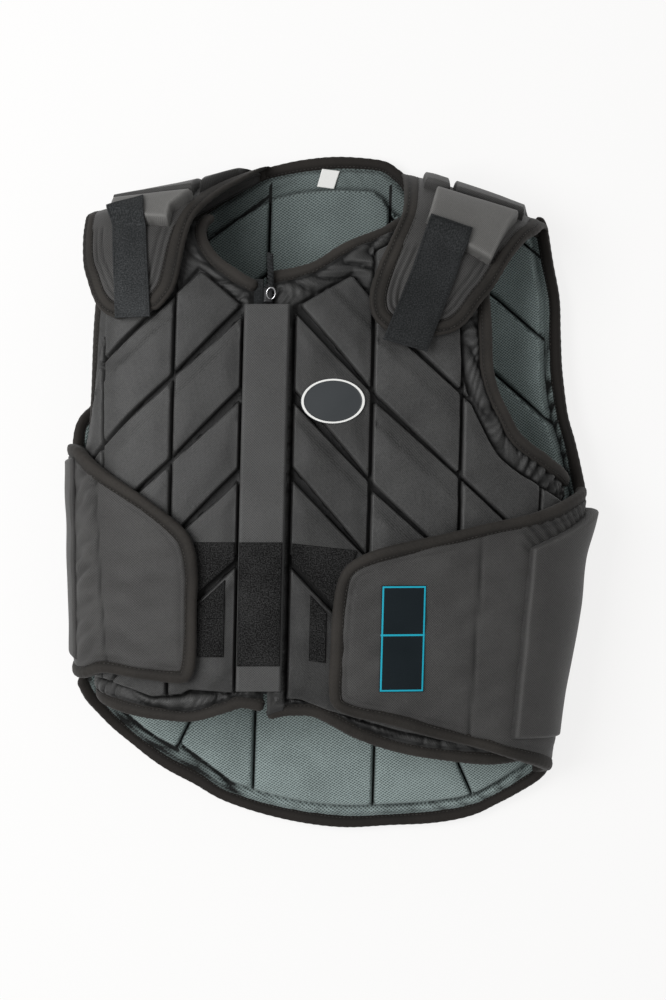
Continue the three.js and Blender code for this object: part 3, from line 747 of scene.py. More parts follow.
def marginFolds(flat, rim, closed, look, seed,
                calm=0.0):  # gathered cloth between the foam and the bound edge; its tone is painted shade over the margin and in the creases, and painted highlight on the crests
    gap, _, along = nearestOnLine(flat, closed)
    wide = np.maximum(gap - np.minimum(rim, 0), 0.01)
    window = np.sin(math.pi * np.clip(gap / wide, 0, 1)) ** 0.7 * smoothRise((gap - 2) / 5)
    a, b, c, e = np.random.RandomState(seed).uniform(0, 6, 4)
    pitch = look["foldPitch"]
    phase = along / pitch + 0.9 * np.sin(along / pitch / 2.3 + a) + 0.4 * np.sin(along / pitch + b)
    phase = phase + 0.4 * np.sin(gap / 6 + along / 31 + c)
    puffs = np.abs(np.sin(math.pi * phase)) ** 0.5
    small = along / gathered["finePitch"] + 1.1 * np.sin(along / 19 + b)
    small = small + 0.5 * np.sin(gap / 4 + along / 11 + e) + 0.1 * gap
    fine = np.sin(2 * math.pi * small)
    swell = 0.5 + 0.5 * np.sin(along / 33 + e) + 0.3 * np.sin(along / 14 + a)
    strong = (0.4 + 0.6 * smoothRise(swell)) * (1 - calm)
    lift = look["puff"] * np.minimum(1, wide / 15) * window * (0.35 - 0.2 * strong + 0.85 * strong * puffs)
    lift = lift + look["wrinkle"] * strong * fine * window
    tone = look["foldTone"] * (1 - 0.7 * calm) - gathered["crease"] * strong * (1 - puffs) ** 1.3
    tone = tone + strong * (gathered["crest"] * puffs**4 + look["fineTone"] * fine) * window
    foot = -gathered["foot"] * np.exp(-(((rim + 1.3) / 1.6) ** 2)) * (1 - 0.8 * calm)  # painted shadow: a dark line at the foot of the foam
    beside = (gap - gathered["seamIn"]) / 1.3
    seam = -gathered["seam"] * np.exp(-(beside**2)) * (1 - 0.6 * calm)  # painted shade beside the binding too
    return gap, lift, np.clip(tone, -0.95, 0.45) * smoothRise(-rim / 1.5) + (foot + seam) * (rim < 0.6)


def frontPanel(side):
    quilt = frontQuilt[side]
    lines = frontLines[side]
    outline = np.vstack([lines["hem"], lines["armhole"], lines["neck"]])
    closed = np.vstack([outline, outline[:1]])
    us, rows = (np.arange(outline[:, k].min() - 3, outline[:, k].max() + 5, frontQuilt["grid"])
                for k in (0, 1))

    def outside(flat):
        rim, groove, lean = frontDepth(flat, side)
        deep = np.minimum(rim, groove)
        calm = 0.0
        if side == "left":
            calm = frontQuilt["armholeCalm"] * smoothRise((flat[:, 0] - 125) / 15)
            calm = calm * smoothRise((flat[:, 1] - 20) / 20)
        edgeGap, folds, foldTone = marginFolds(flat, rim, closed, frontQuilt, 31, calm)
        base = frontQuilt["cloth"] + (frontQuilt["base"] - frontQuilt["cloth"]) * smoothRise(edgeGap / 5)
        base = base + folds
        if side == "right":  # elastic gathers at the side, with painted shade that is deepest between the pleats
            u, v = flat.T
            ruffle = frontQuilt["elastic"]
            elastic = smoothRise((u - ruffle["from"]) / 16) * smoothRise((ruffle["to"] - u) / 8)
            elastic = elastic * smoothRise((edgeGap - 4) / 3) * smoothRise(-rim / 3)
            pleat = gathers(0.9 * u - 0.5 * v + 3 * np.sin(u / 9), 52, ruffle["pitch"]) ** 1.2
            base = base + ruffle["high"] * elastic * pleat
            foldTone = foldTone * (1 - elastic) + elastic * (0.6 * pleat - 0.85)
            strip = smoothRise((quilt["columns"][0] - 0.8 - u) / 2.5) * smoothRise((150 - v) / 10)
            base, foldTone = base + frontQuilt["zipStrip"] * strip, foldTone * (1 - 0.8 * strip)
        rise = roundRise(deep, frontQuilt["edgeRadius"])
        pucker = 0.3 * np.exp(-np.clip(deep, 0, None) / 7) * ripples(flat, 5, 16, 30)
        top = frontQuilt["crown"] * smoothRise(deep / 16) - 0.5 + frontQuilt["tilt"] * lean
        top = top + 0.4 * ripples(flat, 3, 26, 60) + pucker
        # painted highlight along the block edges and painted shade down in the grooves, added to the painted
        # shade of the margins and beside the zip
        paintedLight = np.exp(-(((deep - 1.5) / 0.9) ** 2)) * (deep > 0)
        dark = smoothRise((0.7 - groove) / 1.0) * (rim > -1)
        tone = 0.2 * paintedLight - 0.95 * dark + foldTone
        tone = tone + frontQuilt["zipShade"] * smoothRise((quilt["columns"][1] - flat[:, 0]) / 8)
        return base + (top - base) * rise, tone

    def lining(flat):
        rim, groove, _ = frontDepth(flat, side)
        full = roundRise(np.minimum(rim, groove), 6.0) * smoothRise(nearestOnLine(flat, closed)[0] / 8)
        return frontQuilt["cloth"] + (frontQuilt["inside"]
                                      - frontQuilt["cloth"]) * full, np.zeros(len(flat))

    bm = clothGrid(us, rows, lambda u, v: np.stack([u, v], -1), outline)
    refineWhere(bm, lambda flat: frontDepth(flat, side)[0], 1.0)
    for k in (0, 1):
        cutAlong(bm, lambda flat: frontSeams(flat, quilt)[k], (0.0,))
    cutAlong(bm, lambda flat: np.minimum(*frontDepth(flat, side)[:2]), (-2.6, -0.6, 0.0, 0.5, 1.1, 2.0))
    panel = softSolid(f"quiltedFront_{side}", bm, placeOn[side], outside, lining,
                      [materials["nylon"], materials["airMesh"]])
    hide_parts(f"front_panel_{side}")


for side in ("left", "right"):
    frontPanel(side)
print("fronts quilted")

# Back panel, lining upward
backQuilt = {
    "cloth": 9.5,
    "top": 22.0,
    "margin": {"tail": 14.0, "armhole_right": 11.0, "collar": 24.0, "armhole_left": 14.0},
    "grid": 3.6,
    "puff": 5.0,
    "wrinkle": 0.5,
    # fineTone and foldTone are painted light and shade on the gathered margins
    "fineTone": 0.08,
    "seamMargin": 7.0,
    "foldPitch": 27.0,
    "foldTone": -0.2,
    "calm": {"collar": 0.85, "tail": 0.8, "tailRight": 0.5},  # share of the gathers that is smoothed away
    "shade": {"neck": -0.42, "neckLeft": -0.08, "armhole": -0.14,
              "tailLeft": -0.4},  # lining that the light hardly reaches
    "spine": 53.0,
    "spineRows": [190.0, 110.0, 30.0, -50.0, -130.0],
    "column": 110.0,
    "splay": (0.47, -195.0),  # how the outer grooves lean out toward the tail
    "tailCuts": [[(-58, -259), (-118, -215)], [(-123, -218), (-172, -192)]],
    "slope": 0.75,
    "rows": {"left": [340.0, 270.0, 200.0, 130.0, 60.0, -10.0, -80.0],
             "right": [318.0, 250.0, 184.0, 116.0, 48.0, -20.0, -88.0]},
    "half": 0.65,
}


def backSeams(flat):  # signed distance from the nearest upright seam and from the nearest cross seam
    u, v = flat.T
    side = np.abs(u)
    outer = backQuilt["column"] + backQuilt["splay"][0] * np.clip(backQuilt["splay"][1] - v, 0, None)
    upright = np.where(np.abs(side - backQuilt["spine"]) < np.abs(side - outer), side - backQuilt["spine"],
                       side - outer)
    level = v + backQuilt["slope"] * (side - backQuilt["spine"])
    slanted = np.where(u < 0, nearestMark(level, backQuilt["rows"]["left"]),
                       nearestMark(level, backQuilt["rows"]["right"]))
    across = nearestMark(v, backQuilt["spineRows"])
    return upright, np.where(side < backQuilt["spine"], across, slanted / math.hypot(1, backQuilt["slope"]))


def backDepth(flat):  # depth inside the foam's rim, distance from the grooves
    u, v = flat.T
    rim = np.full(len(flat), 1e3)
    for edge, line in backLines.items():
        rim = np.minimum(rim, nearestOnLine(flat, line)[0] - backQuilt["margin"][edge])
    lines = list(backLines.values())
    for line, following in zip(lines, lines[1:] + lines[:1]):
        seam = np.array([line[-1], following[0]])
        rim = np.minimum(rim, nearestOnLine(flat, seam)[0] - backQuilt["seamMargin"])
    for a, b in backQuilt["tailCuts"]:
        between = (u < max(a[0], b[0]) + 6) & (u > min(a[0], b[0]) - 2) & (v < -150)
        rim = np.where(between, np.minimum(rim, leftOf(flat, b, a)), rim)
    return rim, np.minimum(*np.abs(backSeams(flat))) - backQuilt["half"]


def backPanel():
    outline = np.vstack(list(backLines.values()))
    closed = np.vstack([outline, outline[:1]])
    us, rows = (np.arange(outline[:, k].min() - 3, outline[:, k].max() + 5, backQuilt["grid"])
                for k in (0, 1))

    def lining(flat):
        rim, groove = backDepth(flat)
        deep = np.minimum(rim, groove)
        u, v = flat.T
        smooth = backQuilt["calm"]
        tailCalm = np.maximum(smooth["tail"] * smoothRise((80 - np.abs(u)) / 25),
                              smooth["tailRight"] * smoothRise((u - 40) / 20))
        calm = np.maximum(smooth["collar"] * smoothRise((v - 120) / 40), tailCalm * (v < -200))
        edgeGap, folds, foldTone = marginFolds(flat, rim, closed, backQuilt, 71, calm)
        base = backQuilt["cloth"] + 1.5 * smoothRise(edgeGap / 5) + folds
        top = backQuilt["top"] + 0.8 * smoothRise(deep / 18) - 0.4 + 0.35 * ripples(flat, 8, 30, 70)
        shade = backQuilt["shade"]
        neckTone = shade["neck"] * smoothRise((130 - u) / 20) + shade["neckLeft"] * smoothRise((-50 - u) / 8)
        hidden = smoothRise((v - 60) / 80) * neckTone
        hidden = hidden + shade["armhole"] * smoothRise((u - 120) / 20) * smoothRise((v + 20) / 40)
        tailTone = shade["tailLeft"] * smoothRise((-50 - u) / 30) * smoothRise((-120 - v) / 40)
        hidden = hidden + tailTone * smoothRise(-rim / 2)
        # painted shade in the grooves of the lining
        sewn = (rim > -1) | (v > 150) & (rim > -14)
        tone = -0.95 * smoothRise((0.7 - groove) / 1.0) * sewn + foldTone + hidden
        return base + (top - base) * roundRise(deep, 3.0), tone

    def outside(flat):
        rim, groove = backDepth(flat)
        full = roundRise(np.minimum(rim, groove), 5.0) * smoothRise(nearestOnLine(flat, closed)[0] / 8)
        # painted shade: the floor-facing nylon darkens where the foam thins at the grooves and margins
        return backQuilt["cloth"] * (1 - full), -0.3 * (1 - full)

    bm = clothGrid(us, rows, lambda u, v: np.stack([u, v], -1), outline)
    refineWhere(bm, lambda flat: backDepth(flat)[0], 1.0)
    for k in (0, 1):
        cutAlong(bm, lambda flat: backSeams(flat)[k], (0.0,))
    cutAlong(bm, lambda flat: np.minimum(*backDepth(flat)), (-2.6, 0.0, 0.7, 1.5, 2.6))
    panel = softSolid("quiltedBack", bm, backPoint, lining, outside,
                      [materials["airMesh"], materials["nylon"]])
    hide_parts("back_panel")


backPanel()
print("back quilted")

# Bound edges: a folded tape swept along an edge, with rows of stitches
tape = {"wide": 11.0, "sides": 20, "step": 2.0, "square": 3.0, "stitchPitch": 3.4, "stitchLong": 1.3,
        "stitchThick": 0.4}


def tapeSection(halfWide, halfTall):  # rounded, slightly square section
    turns = np.linspace(0, 2 * math.pi, tape["sides"] + 1)
    c, s = np.cos(turns), np.sin(turns)
    power = 2 / tape["square"]
    return np.stack([np.sign(c) * np.abs(c) ** power * halfWide,
                     np.sign(s) * np.abs(s) ** power * halfTall], 1)


def sewTape(name, line, place, inset, low, high, nodes, seed, wide=None, rows=(1.0,), cloth="flapTape"):
    wide = wide or tape["wide"]
    line = evenSteps(line, tape["step"])
    normals = leftNormals(line)
    for _ in range(3):  # even out tight turns
        normals[1:-1] = (normals[:-2] + normals[1:-1] + normals[2:]) / 3
    along = np.concatenate([[0], np.cumsum(np.hypot(*np.diff(line, axis=0).T))])
    section = tapeSection(wide / 2, (high - low) / 2)
    bm = bmesh.new()
    bmesh.ops.create_grid(bm, x_segments=tape["sides"], y_segments=len(line) - 1, size=0.5)
    layer = bm.verts.layers.float_vector.new("flat")
    toneLayer = bm.verts.layers.float.new("tone")
    pull = gathers(along, seed, 7.2) - 0.5
    sway = 0.7 * np.sin(along / 31 + seed) + 0.5 * np.sin(along / 13 + 2 * seed)
    fat = 1 + 0.05 * pull + 0.06 * np.sin(along / 19 + seed)
    tips = smoothRise((np.minimum(along, along[-1] - along) + 2.0) / 6.0) ** 0.5
    offsets, heights = section[:, 0], section[:, 1]
    spots = line[:, None] + normals[:, None] * (inset + sway[:, None, None] * 0.6
                                                + (offsets[None] * (fat * tips)[:, None])[..., None])
    dent = sum(np.exp(-(((offsets - s * (wide / 2 - 2.1)) / 1.1) ** 2)) for s in rows) * (heights > 0)
    tall = (low + high) / 2 + heights[None] * (fat * tips)[:, None] - (0.8
            + 0.6 * pull[:, None]) * dent[None]
    points = place(spots[..., 0].ravel(), spots[..., 1].ravel(), tall.ravel())
    girth = np.linspace(0, 32, tape["sides"] + 1)
    for vert, point, a, g, deep in zip(bm.verts, points, np.repeat(along, len(girth)),
                                       np.tile(girth, len(line)), np.tile(dent, len(line))):
        vert.co = point
        vert[layer] = g, a, 0
        # painted shade in the stitch dents
        vert[toneLayer] = -0.65 * deep
    bmesh.ops.remove_doubles(bm, verts=bm.verts[:], dist=0.00002)
    bmesh.ops.holes_fill(bm, edges=[e for e in bm.edges if e.is_boundary], sides=0)
    bmesh.ops.recalc_face_normals(bm, faces=bm.faces[:])
    for s in rows:
        addStitches(bm, line, normals, along, inset + sway * 0.6 + s * (wide / 2 - 2.1),
                    (low + high) / 2 + (high - low) / 2 * 0.8, place)
    piece = finishMesh(bm, name, [materials[cloth], materials["thread"]])
    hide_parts(*nodes)
    return piece


def addStitches(bm, line, normals, along, offset, height, place, material=1):
    flatLayer = bm.verts.layers.float_vector["flat"]
    marks = np.arange(2.0, along[-1] - 2.0, tape["stitchPitch"])
    spots = line + normals * np.broadcast_to(offset, len(line))[:, None]
    mid = np.stack([np.interp(marks, along, spots[:, k]) for k in (0, 1)], 1)
    ahead = np.stack([np.interp(marks + 1.0, along, spots[:, k]) for k in (0, 1)], 1)
    here, there = place(mid[:, 0], mid[:, 1], height), place(ahead[:, 0], ahead[:, 1], height)
    size = Matrix.Diagonal((tape["stitchThick"] * 0.001, tape["stitchThick"] * 0.001,
                            tape["stitchLong"] * 0.001, 1))
    for spot, target in zip(here, there):
        aim = Vector(target - spot)
        if aim.length < 1e-7:
            continue
        seat = Matrix.Translation(Vector(spot)) @ aim.to_track_quat("Z", "Y").to_matrix().to_4x4() @ size
        new = bmesh.ops.create_icosphere(bm, subdivisions=1, radius=1.0, matrix=seat)
        for vert in new["verts"]:
            vert[flatLayer] = spot[0] * 1000, spot[1] * 1000, 0
            for face in vert.link_faces:
                face.material_index = material


edgeRuns = {  # name of the piece: line, place, low, high, CAD node
    **{f"{edge}Tape_{side}": (frontLines[side][edge], placeOn[side], -15.0, -7.0,
                              f"front_{edge}_binding_{side}")
       for side in ("left", "right") for edge in ("hem", "armhole", "neck")},
    **{f"back{edge[0].upper()}{edge[1:]}Tape": (backLines[edge], backPoint, 5.5, 13.5,
                                                f"back_{edge}_binding") for edge in backLines},
}
edgeRuns["armholeTape_right"] = (frontLines["right"]["armhole"], frontPoint, -12.0, -2.8,
                                 "front_armhole_binding_right")
for seed, (name, (line, place, low, high, node)) in enumerate(edgeRuns.items()):
    sewTape(name, line, place, 0.0, low, high, [node], seed + 1,
            cloth="edgeTape" if name.startswith("back") else "flapTape")
print("edges bound")

# Waist flaps
waistFlap = {
    "low": 2.2,
    "high": 12.0,
    "left": {
        "lower": [(225, -140), (162, -151), (127, -145), (94, -150), (62, -153), (53, -143), (51, -120)],
        "upper": [(234, 48), (196, 48), (165, 45), (151, 38.5), (95, 2), (65, -22), (55, -40), (51, -66)],
        "block": [(160, -136), (214, -124), (222, 34), (164, 36)],
        "blockHigh": 14.5,
        "seams": [[(138, 32), (133, -33), (130, -83), (124, -140)]],
    },
    "right": {
        "lower": [(300, -240), (262, -233), (240, -227), (216, -220), (188, -211), (150, -200), (117, -190),
                  (76, -180), (61, -170), (58, -150)],
        "upper": [(313, 14), (280, 6), (232, -10), (180, -21), (113, -37), (78, -49), (64, -66), (60, -99)],
        "block": [(212, -202), (284, -205), (303, -6), (224, -40)],
        "blockHigh": 19.0,
        "lean": {"upper": 6.0, "lower": 4.0},
        "seams": [[(184, -26), (180, -117), (177, -204)]],
    },
}


def flapRim(lower, upper):
    near, far = smoothLine(lower), smoothLine(upper)
    rim = np.vstack([near, far[::-1]])
    area = np.sum(rim[:, 0] * np.roll(rim[:, 1], -1) - np.roll(rim[:, 0], -1) * rim[:, 1])
    return near, far, rim, math.copysign(1, area)


def flapWarp(near, far, turn, inset):
    low, high = offsetLine(near, turn * inset), offsetLine(far, -turn * inset)
    return coons(low, [low[-1], high[-1]], high, [low[0], high[0]])


def seamRelief(flat, seams, deep, reach, seed):  # sewn channels that pull the padding down, with painted shade along each seam
    lift, tone = np.zeros(len(flat)), np.zeros(len(flat))
    for k, seam in enumerate(seams):
        gap, _, along = nearestOnLine(flat, seam)
        puff = 0.3 * np.exp(-(((gap - 4) / 3.5) ** 2)) * (gathers(along, seed + k, 12) - 0.4)
        lift += deep * (-np.exp(-((gap / reach) ** 2)) + puff)
        tone -= 0.55 * np.exp(-((gap / 1.2) ** 2))
    return lift, tone


def padRelief(flat, deep):
    # painted highlight just inside the edge and painted shade on the edge wall
    tone = 0.2 * np.exp(-(((deep - 2.2) / 1.3) ** 2)) - 0.4 * smoothRise((1.6 - deep) / 1.6)
    return 0.4 * ripples(flat, 22, 35, 80), tone


def leaningRelief(flat, deep):  # the right side block stands off toward its upper corner
    lift, tone = padRelief(flat, deep)
    u, v = flat.T
    lean = waistFlap["right"]["lean"]
    out = lean["upper"] * smoothRise((u - 255) / 45) * smoothRise((v + 50) / 45)
    out = out - lean["lower"] * smoothRise((u - 240) / 40) * smoothRise((-110 - v) / 60)
    return lift + out, tone


def waist(side):
    look = waistFlap[side]
    near, far, rim, turn = flapRim(look["lower"], look["upper"])
    seams = [smoothLine(s) for s in look["seams"]]

    def relief(flat, deep):
        lift, tone = seamRelief(flat, seams, 1.5, 1.5, 40)
        lift = lift + 0.7 * ripples(flat, 14, 40, 90) + 0.55 * ripples(flat, 15, 18, 40)
        lift = lift - 0.9 * np.exp(-(((deep - 1.0) / 3.5) ** 2))
        lift = lift - 0.6 * np.exp(-(((deep - 7.5) / 1.0) ** 2))
        # painted shade in the dips along the flap's edge
        tone = tone - 0.3 * np.exp(-(((deep - 2.0) / 2.5) ** 2)) - 0.2 * np.exp(-(((deep - 7.5) / 0.8) ** 2))
        if side == "left":  # gathers between the seam and the side block, with painted shade in their troughs
            u, v = flat.T
            folds = gathers(v + 0.9 * (u - 130), 77, 23) ** 1.4 + 0.7 * gathers(v + 0.4 * u, 78, 14) - 0.6
            folds = folds * (0.35 + 0.65 * smoothRise(0.5 + 0.8 * ripples(flat, 79, 60, 110)))
            lift = lift + 3.0 * folds * smoothRise((u - 130) / 9) * smoothRise((163 - u) / 10)
            dip = 0.35 * smoothRise(0.3 - folds) * smoothRise((u - 132) / 9)
            tone = tone - dip * smoothRise((162 - u) / 10)
        else:  # gathers between the binding and the side block, with painted shade between the folds
            u, v = flat.T
            folds = gathers(u + 0.8 * v, 77, 9.5) ** 1.3
            there = smoothRise((u - 214) / 8) * smoothRise((v + 46 - 0.4 * (u - 224)) / 6)
            lift, tone = lift + 2.2 * folds * there, tone - (0.5 - 0.4 * folds) * there
        return lift, tone

    span = (np.hypot(*np.diff(near, axis=0).T).sum(), 200.0)
    flap = softSlab(f"waistFlap_{side}", flapWarp(near, far, turn, 6.5), span, placeOn[side],
                    waistFlap["low"], waistFlap["high"] - 1.0,
                    [materials["flapNylon"]], edge=5.0, coarse=2.8, relief=relief)
    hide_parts(f"waist_flap_{side}")
    rimLine = rim if turn > 0 else rim[::-1]
    sewTape(f"waistTape_{side}", rimLine, placeOn[side], 5.5, waistFlap["low"] + 0.2,
            waistFlap["high"] + 0.2, [f"waist_binding_{side}"], 60)
    block = look["block"]
    size = (math.dist(block[0], block[1]), math.dist(block[1], block[2]))
    pad = softSlab(f"sideBlock_{side}", quad(block), size, placeOn[side], waistFlap["high"] - 3,
                   look["blockHigh"],
                   [materials["flapNylon"]], edge=2.6, coarse=4.0, seat=waistFlap["high"] - 2.5,
                   relief=leaningRelief if side == "right" else padRelief)


for side in ("left", "right"):
    waist(side)
print("waist flaps laid")


def box(left, right, bottom, top):
    return [(left, bottom), (right, bottom), (right, top), (left, top)]


def layFlat(corners):  # takes the corners of a cloth piece as it was cut; nothing is done with them
    a, b, c, d = (np.array(p) for p in corners)


# Shoulder flaps, their pads and straps
shoulderFlap = {
    "low": 1.6,
    "high": 8.6,
    "padHigh": 19.5,
    "left": {
        "inner": [(12, 352), (14, 312), (24, 286), (46, 263), (61, 240), (69, 215), (75, 190), (80, 174),
                  (90, 160)],
        "outer": [(156, 352), (157, 300), (158, 245), (159, 220), (157, 197), (151, 183), (143, 167),
                  (134, 157), (122, 151)],
        "pads": [
            ([(81, 226), (101, 228), (128, 236)], [(128, 236), (127, 255)], [(62, 257), (127, 255)],
             [(81, 226), (79, 240), (62, 257)]),
            ([(64, 261), (129, 259)], [(129, 259), (138, 318)], [(64, 324), (138, 318)],
             [(64, 261), (64, 324)]),
            ([(33, 290), (60, 264)], [(60, 264), (61, 328)], [(21, 334), (61, 328)],
             [(33, 290), (21, 334)]),
        ],
        "channels": 232,
        "strap": {"end": [(95, 152), (123, 151)], "start": [(102, 248), (128, 238)]},
        # strapTone is painted light: the left strap is painted lighter than the right
        "strapTone": 0.35,
    },
    "right": {
        "inner": [(120, 344), (117, 300), (116, 262), (112.5, 239), (101, 213), (92, 193), (87, 170),
                  (90, 153), (100, 142)],
        "outer": [(236, 344), (240, 296), (234, 249), (219, 223), (204, 201), (191, 181), (178, 165),
                  (167, 150), (155, 141), (138, 137)],
        "pads": [
            ([(131, 229), (164, 206), (185, 195)], [(185, 195), (212, 243)], [(140, 257), (212, 243)],
             [(131, 229), (140, 257)]),
            ([(157, 258), (217, 247)], [(217, 247), (226, 304)], [(158, 322), (226, 304)],
             [(157, 258), (158, 322)]),
            ([(131, 263), (153, 259)], [(153, 259), (154, 324)], [(134, 326), (154, 324)],
             [(131, 263), (134, 326)]),
        ],
        "channels": 215,
        "strap": {"end": [(96, 133), (133, 123)], "start": [(133, 229), (168, 218)]},
        "strapTone": 0.0,
    },
}
roots = {  # where each flap is sewn to the back, and the run over which it gets there
    "left": {"inner": (-54, 291), "outer": (-184, 220), "across": (12, 156), "start": 246, "end": 338},
    "right": {"inner": (66, 281), "outer": (193, 234), "across": (120, 236), "start": 236, "end": 330},
}
strapTape = {"low": 9.6, "high": 12.1, "rise": 10.8, "climb": {"left": 20.0, "right": 9.0}}


def flapPlace(side):  # from the front over the shoulder and down onto the back
    root = roots[side]

    def place(u, v, d):
        u, v, d = np.broadcast_arrays(*(np.asarray(a, float) for a in (u, v, d)))
        part = smoothRise((v - root["start"]) / (root["end"] - root["start"]))[..., None]
        s = (u - root["across"][0]) / (root["across"][1] - root["across"][0])
        x, y = (root["inner"][k] + (root["outer"][k] - root["inner"][k]) * s for k in (0, 1))
        tall = 4 + 4.5 * smoothRise(np.minimum(s, 1 - s) / 0.2)
        return placeOn[side](u, v, d) * (1 - part) + backPoint(x, y + 0.35 * (root["end"] - v),
                                                               tall + d) * part

    return place


def shoulder(side):
    look = shoulderFlap[side]
    place = flapPlace(side)
    near, far, rim, turn = flapRim(look["inner"], look["outer"])

    def relief(flat, deep):
        lift = 0.3 * ripples(flat, 19, 30, 60) - 0.8 * np.exp(-(((deep - 1.0) / 3.0) ** 2))
        # painted shade near the edge and in the sewn channels
        tone = -0.25 * np.exp(-(((deep - 2.0) / 2.5) ** 2))
        low = smoothRise((look["channels"] - flat[:, 1]) / 8)
        for channel in (4.5, 9.5, 15.0):
            lift = lift - 1.5 * np.exp(-(((deep - channel) / 1.2) ** 2)) * low
            tone = tone - 0.5 * np.exp(-(((deep - channel) / 0.9) ** 2)) * low
        return lift, tone

    span = (np.hypot(*np.diff(near, axis=0).T).sum(), 110.0)
    flap = softSlab(f"shoulderFlap_{side}", flapWarp(near, far, turn, 6.5), span, place,
                    shoulderFlap["low"], shoulderFlap["high"],
                    [materials["flapNylon"], materials["airMesh"]], edge=4.0, coarse=2.2, relief=relief)
    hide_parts(f"shoulder_flap_{side}")
    rimLine = rim if turn > 0 else rim[::-1]
    sewTape(f"shoulderTape_{side}", rimLine, place, 6.0, shoulderFlap["low"], shoulderFlap["high"] + 0.5,
            [f"shoulder_binding_{side}"], 80,
            wide=14.5, rows=(1.0, -0.6))
    for k, (bottom, right, top, left) in enumerate(look["pads"]):
        size = (math.dist(bottom[0], bottom[-1]), math.dist(right[0], right[-1]))
        cloth = materials["flapNylon" if k else "padNylon"]
        block = softSlab(f"shoulderPad_{side}_{k + 1}", coons(bottom, right, top, left), size, place,
                         shoulderFlap["high"] - 3, shoulderFlap["padHigh"], [cloth], edge=2.0, coarse=3.0,
                         seat=shoulderFlap["high"] - 2.0, relief=padRelief)
    strap = look["strap"]
    padEdge = look["pads"][0][0]

    def onPad(u, v, d):
        above = leftOf(np.stack([u, v], -1), padEdge[0], padEdge[-1])
        return place(u, v, d + strapTape["rise"] * smoothRise((above + 8) / 9))

    def strapRelief(flat, deep):
        # strapTone lifts the left strap as painted light from the left; the thin dark line follows the strap
        # edge
        tone = look["strapTone"] - 0.4 * np.exp(-(((deep - 2.2) / 0.6) ** 2))
        return 0.25 * ripples(flat, 28, 20, 50), tone

    (a, b), (c, d) = strap["end"], strap["start"]
    size = (math.dist(a, b), math.dist(a, c))
    band = softSlab(f"shoulderStrap_{side}", quad([a, b, d, c]), size, onPad, strapTape["low"],
                    strapTape["high"],
                    [materials["strapTape"]], edge=0.9, coarse=2.2, relief=strapRelief)
    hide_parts(f"shoulder_strap_{side}")
    layFlat([a, b, d, c])


for side in ("left", "right"):
    shoulder(side)
print("shoulders laid")

# Zip, placket, patches and labels
zipTape = {"inner": 3.1, "left": 17.5, "right": 14.7, "bottom": -163.0, "top": 185.0}


def flatPiece(name, corners, place, low, high, material, node, slotName, under=(), **shape):
    size = (math.dist(corners[0], corners[1]), math.dist(corners[1], corners[2]))
    shape.setdefault("edge", 1.0)
    piece = softSlab(name, quad(corners), size, place, low, high, [materials[m] for m in material.split()],
                     **shape)
    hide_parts(node)
    if under:
        layFlat(corners)
    return piece


def teeth(flat, deep):
    bite = 0.5 + 0.5 * np.sin(flat[:, 1] * 2 * math.pi / 3.2)
    # painted shade between the teeth
    return -1.3 * bite, -0.6 * bite


for side in ("left", "right"):
    flatPiece(f"zipTape_{side}", box(zipTape["inner"], zipTape[side], zipTape["bottom"], zipTape["top"]),
              placeOn[side], -12.0, -10.0,
              "strapTape", f"zip_tape_{side}", "strap_tape", [f"quiltedFront_{side}"])
flatPiece("zipChain", box(-2.2, 2.2, -176, 181), frontPoint, -12.5, -9.0, "zipPlastic", "zip_chain",
          "zip_plastic", coarse=0.8, relief=teeth)
flatPiece("zipSlider", box(-3.5, 5.0, 164, 177), frontPoint, -9.3, -3.0, "zipPlastic", "zip_slider",
          "zip_metal", edge=2.0)


def tubeAlong(bm, path, radius, sides=8):  # round tube along points in the shared frame
    path = np.asarray(path)
    ahead = np.gradient(path, axis=0)
    ahead /= np.linalg.norm(ahead, axis=1)[:, None]
    side = np.cross(ahead, [0.3, 0.2, 0.93])
    side /= np.linalg.norm(side, axis=1)[:, None]
    up = np.cross(side, ahead)
    turns = np.linspace(0, 2 * math.pi, sides + 1)
    new = bmesh.ops.create_grid(bm, x_segments=sides, y_segments=len(path) - 1, size=0.5)["verts"]
    layer = bm.verts.layers.float_vector["flat"]
    ring = path[:, None] + radius * (side[:, None] * np.cos(turns)[None, :, None]
                                     + up[:, None] * np.sin(turns)[None, :, None])
    for vert, point in zip(new, ring.reshape(-1, 3)):
        vert.co = point
        vert[layer] = point[0] * 1000, point[1] * 1000 + point[2] * 1000, 0
    bmesh.ops.remove_doubles(bm, verts=new, dist=0.00002)


pullLook = {"foot": (3.0, 176.0, -6.0), "long": 31.0, "bow": 4.0, "strand": 1.4, "radius": 0.0015,
            "halfTurns": 9}
ringLook = {"middle": (3.2, 172.0, -2.2), "half": (3.6, 4.6, 1.6), "radius": 0.0008}


def zipPull():  # twisted cord pull
    bm = bmesh.new()
    bm.verts.layers.float_vector.new("flat")
    t = np.linspace(0, 1, 60)
    for phase in (0, math.pi):
        turn = t * pullLook["halfTurns"] * math.pi + phase
        (x, y, z), strand = pullLook["foot"], pullLook["strand"]
        path = frontPoint(x - 1.2 * t + strand * np.cos(turn), y + pullLook["long"] * t,
                          z + pullLook["bow"] * np.sin(math.pi * t) + strand * np.sin(turn))
        tubeAlong(bm, path, pullLook["radius"])
    bmesh.ops.holes_fill(bm, edges=[e for e in bm.edges if e.is_boundary], sides=0)
    bmesh.ops.recalc_face_normals(bm, faces=bm.faces[:])
    piece = finishMesh(bm, "zipPull", [materials["strapTape"]])
    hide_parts("zip_pull")


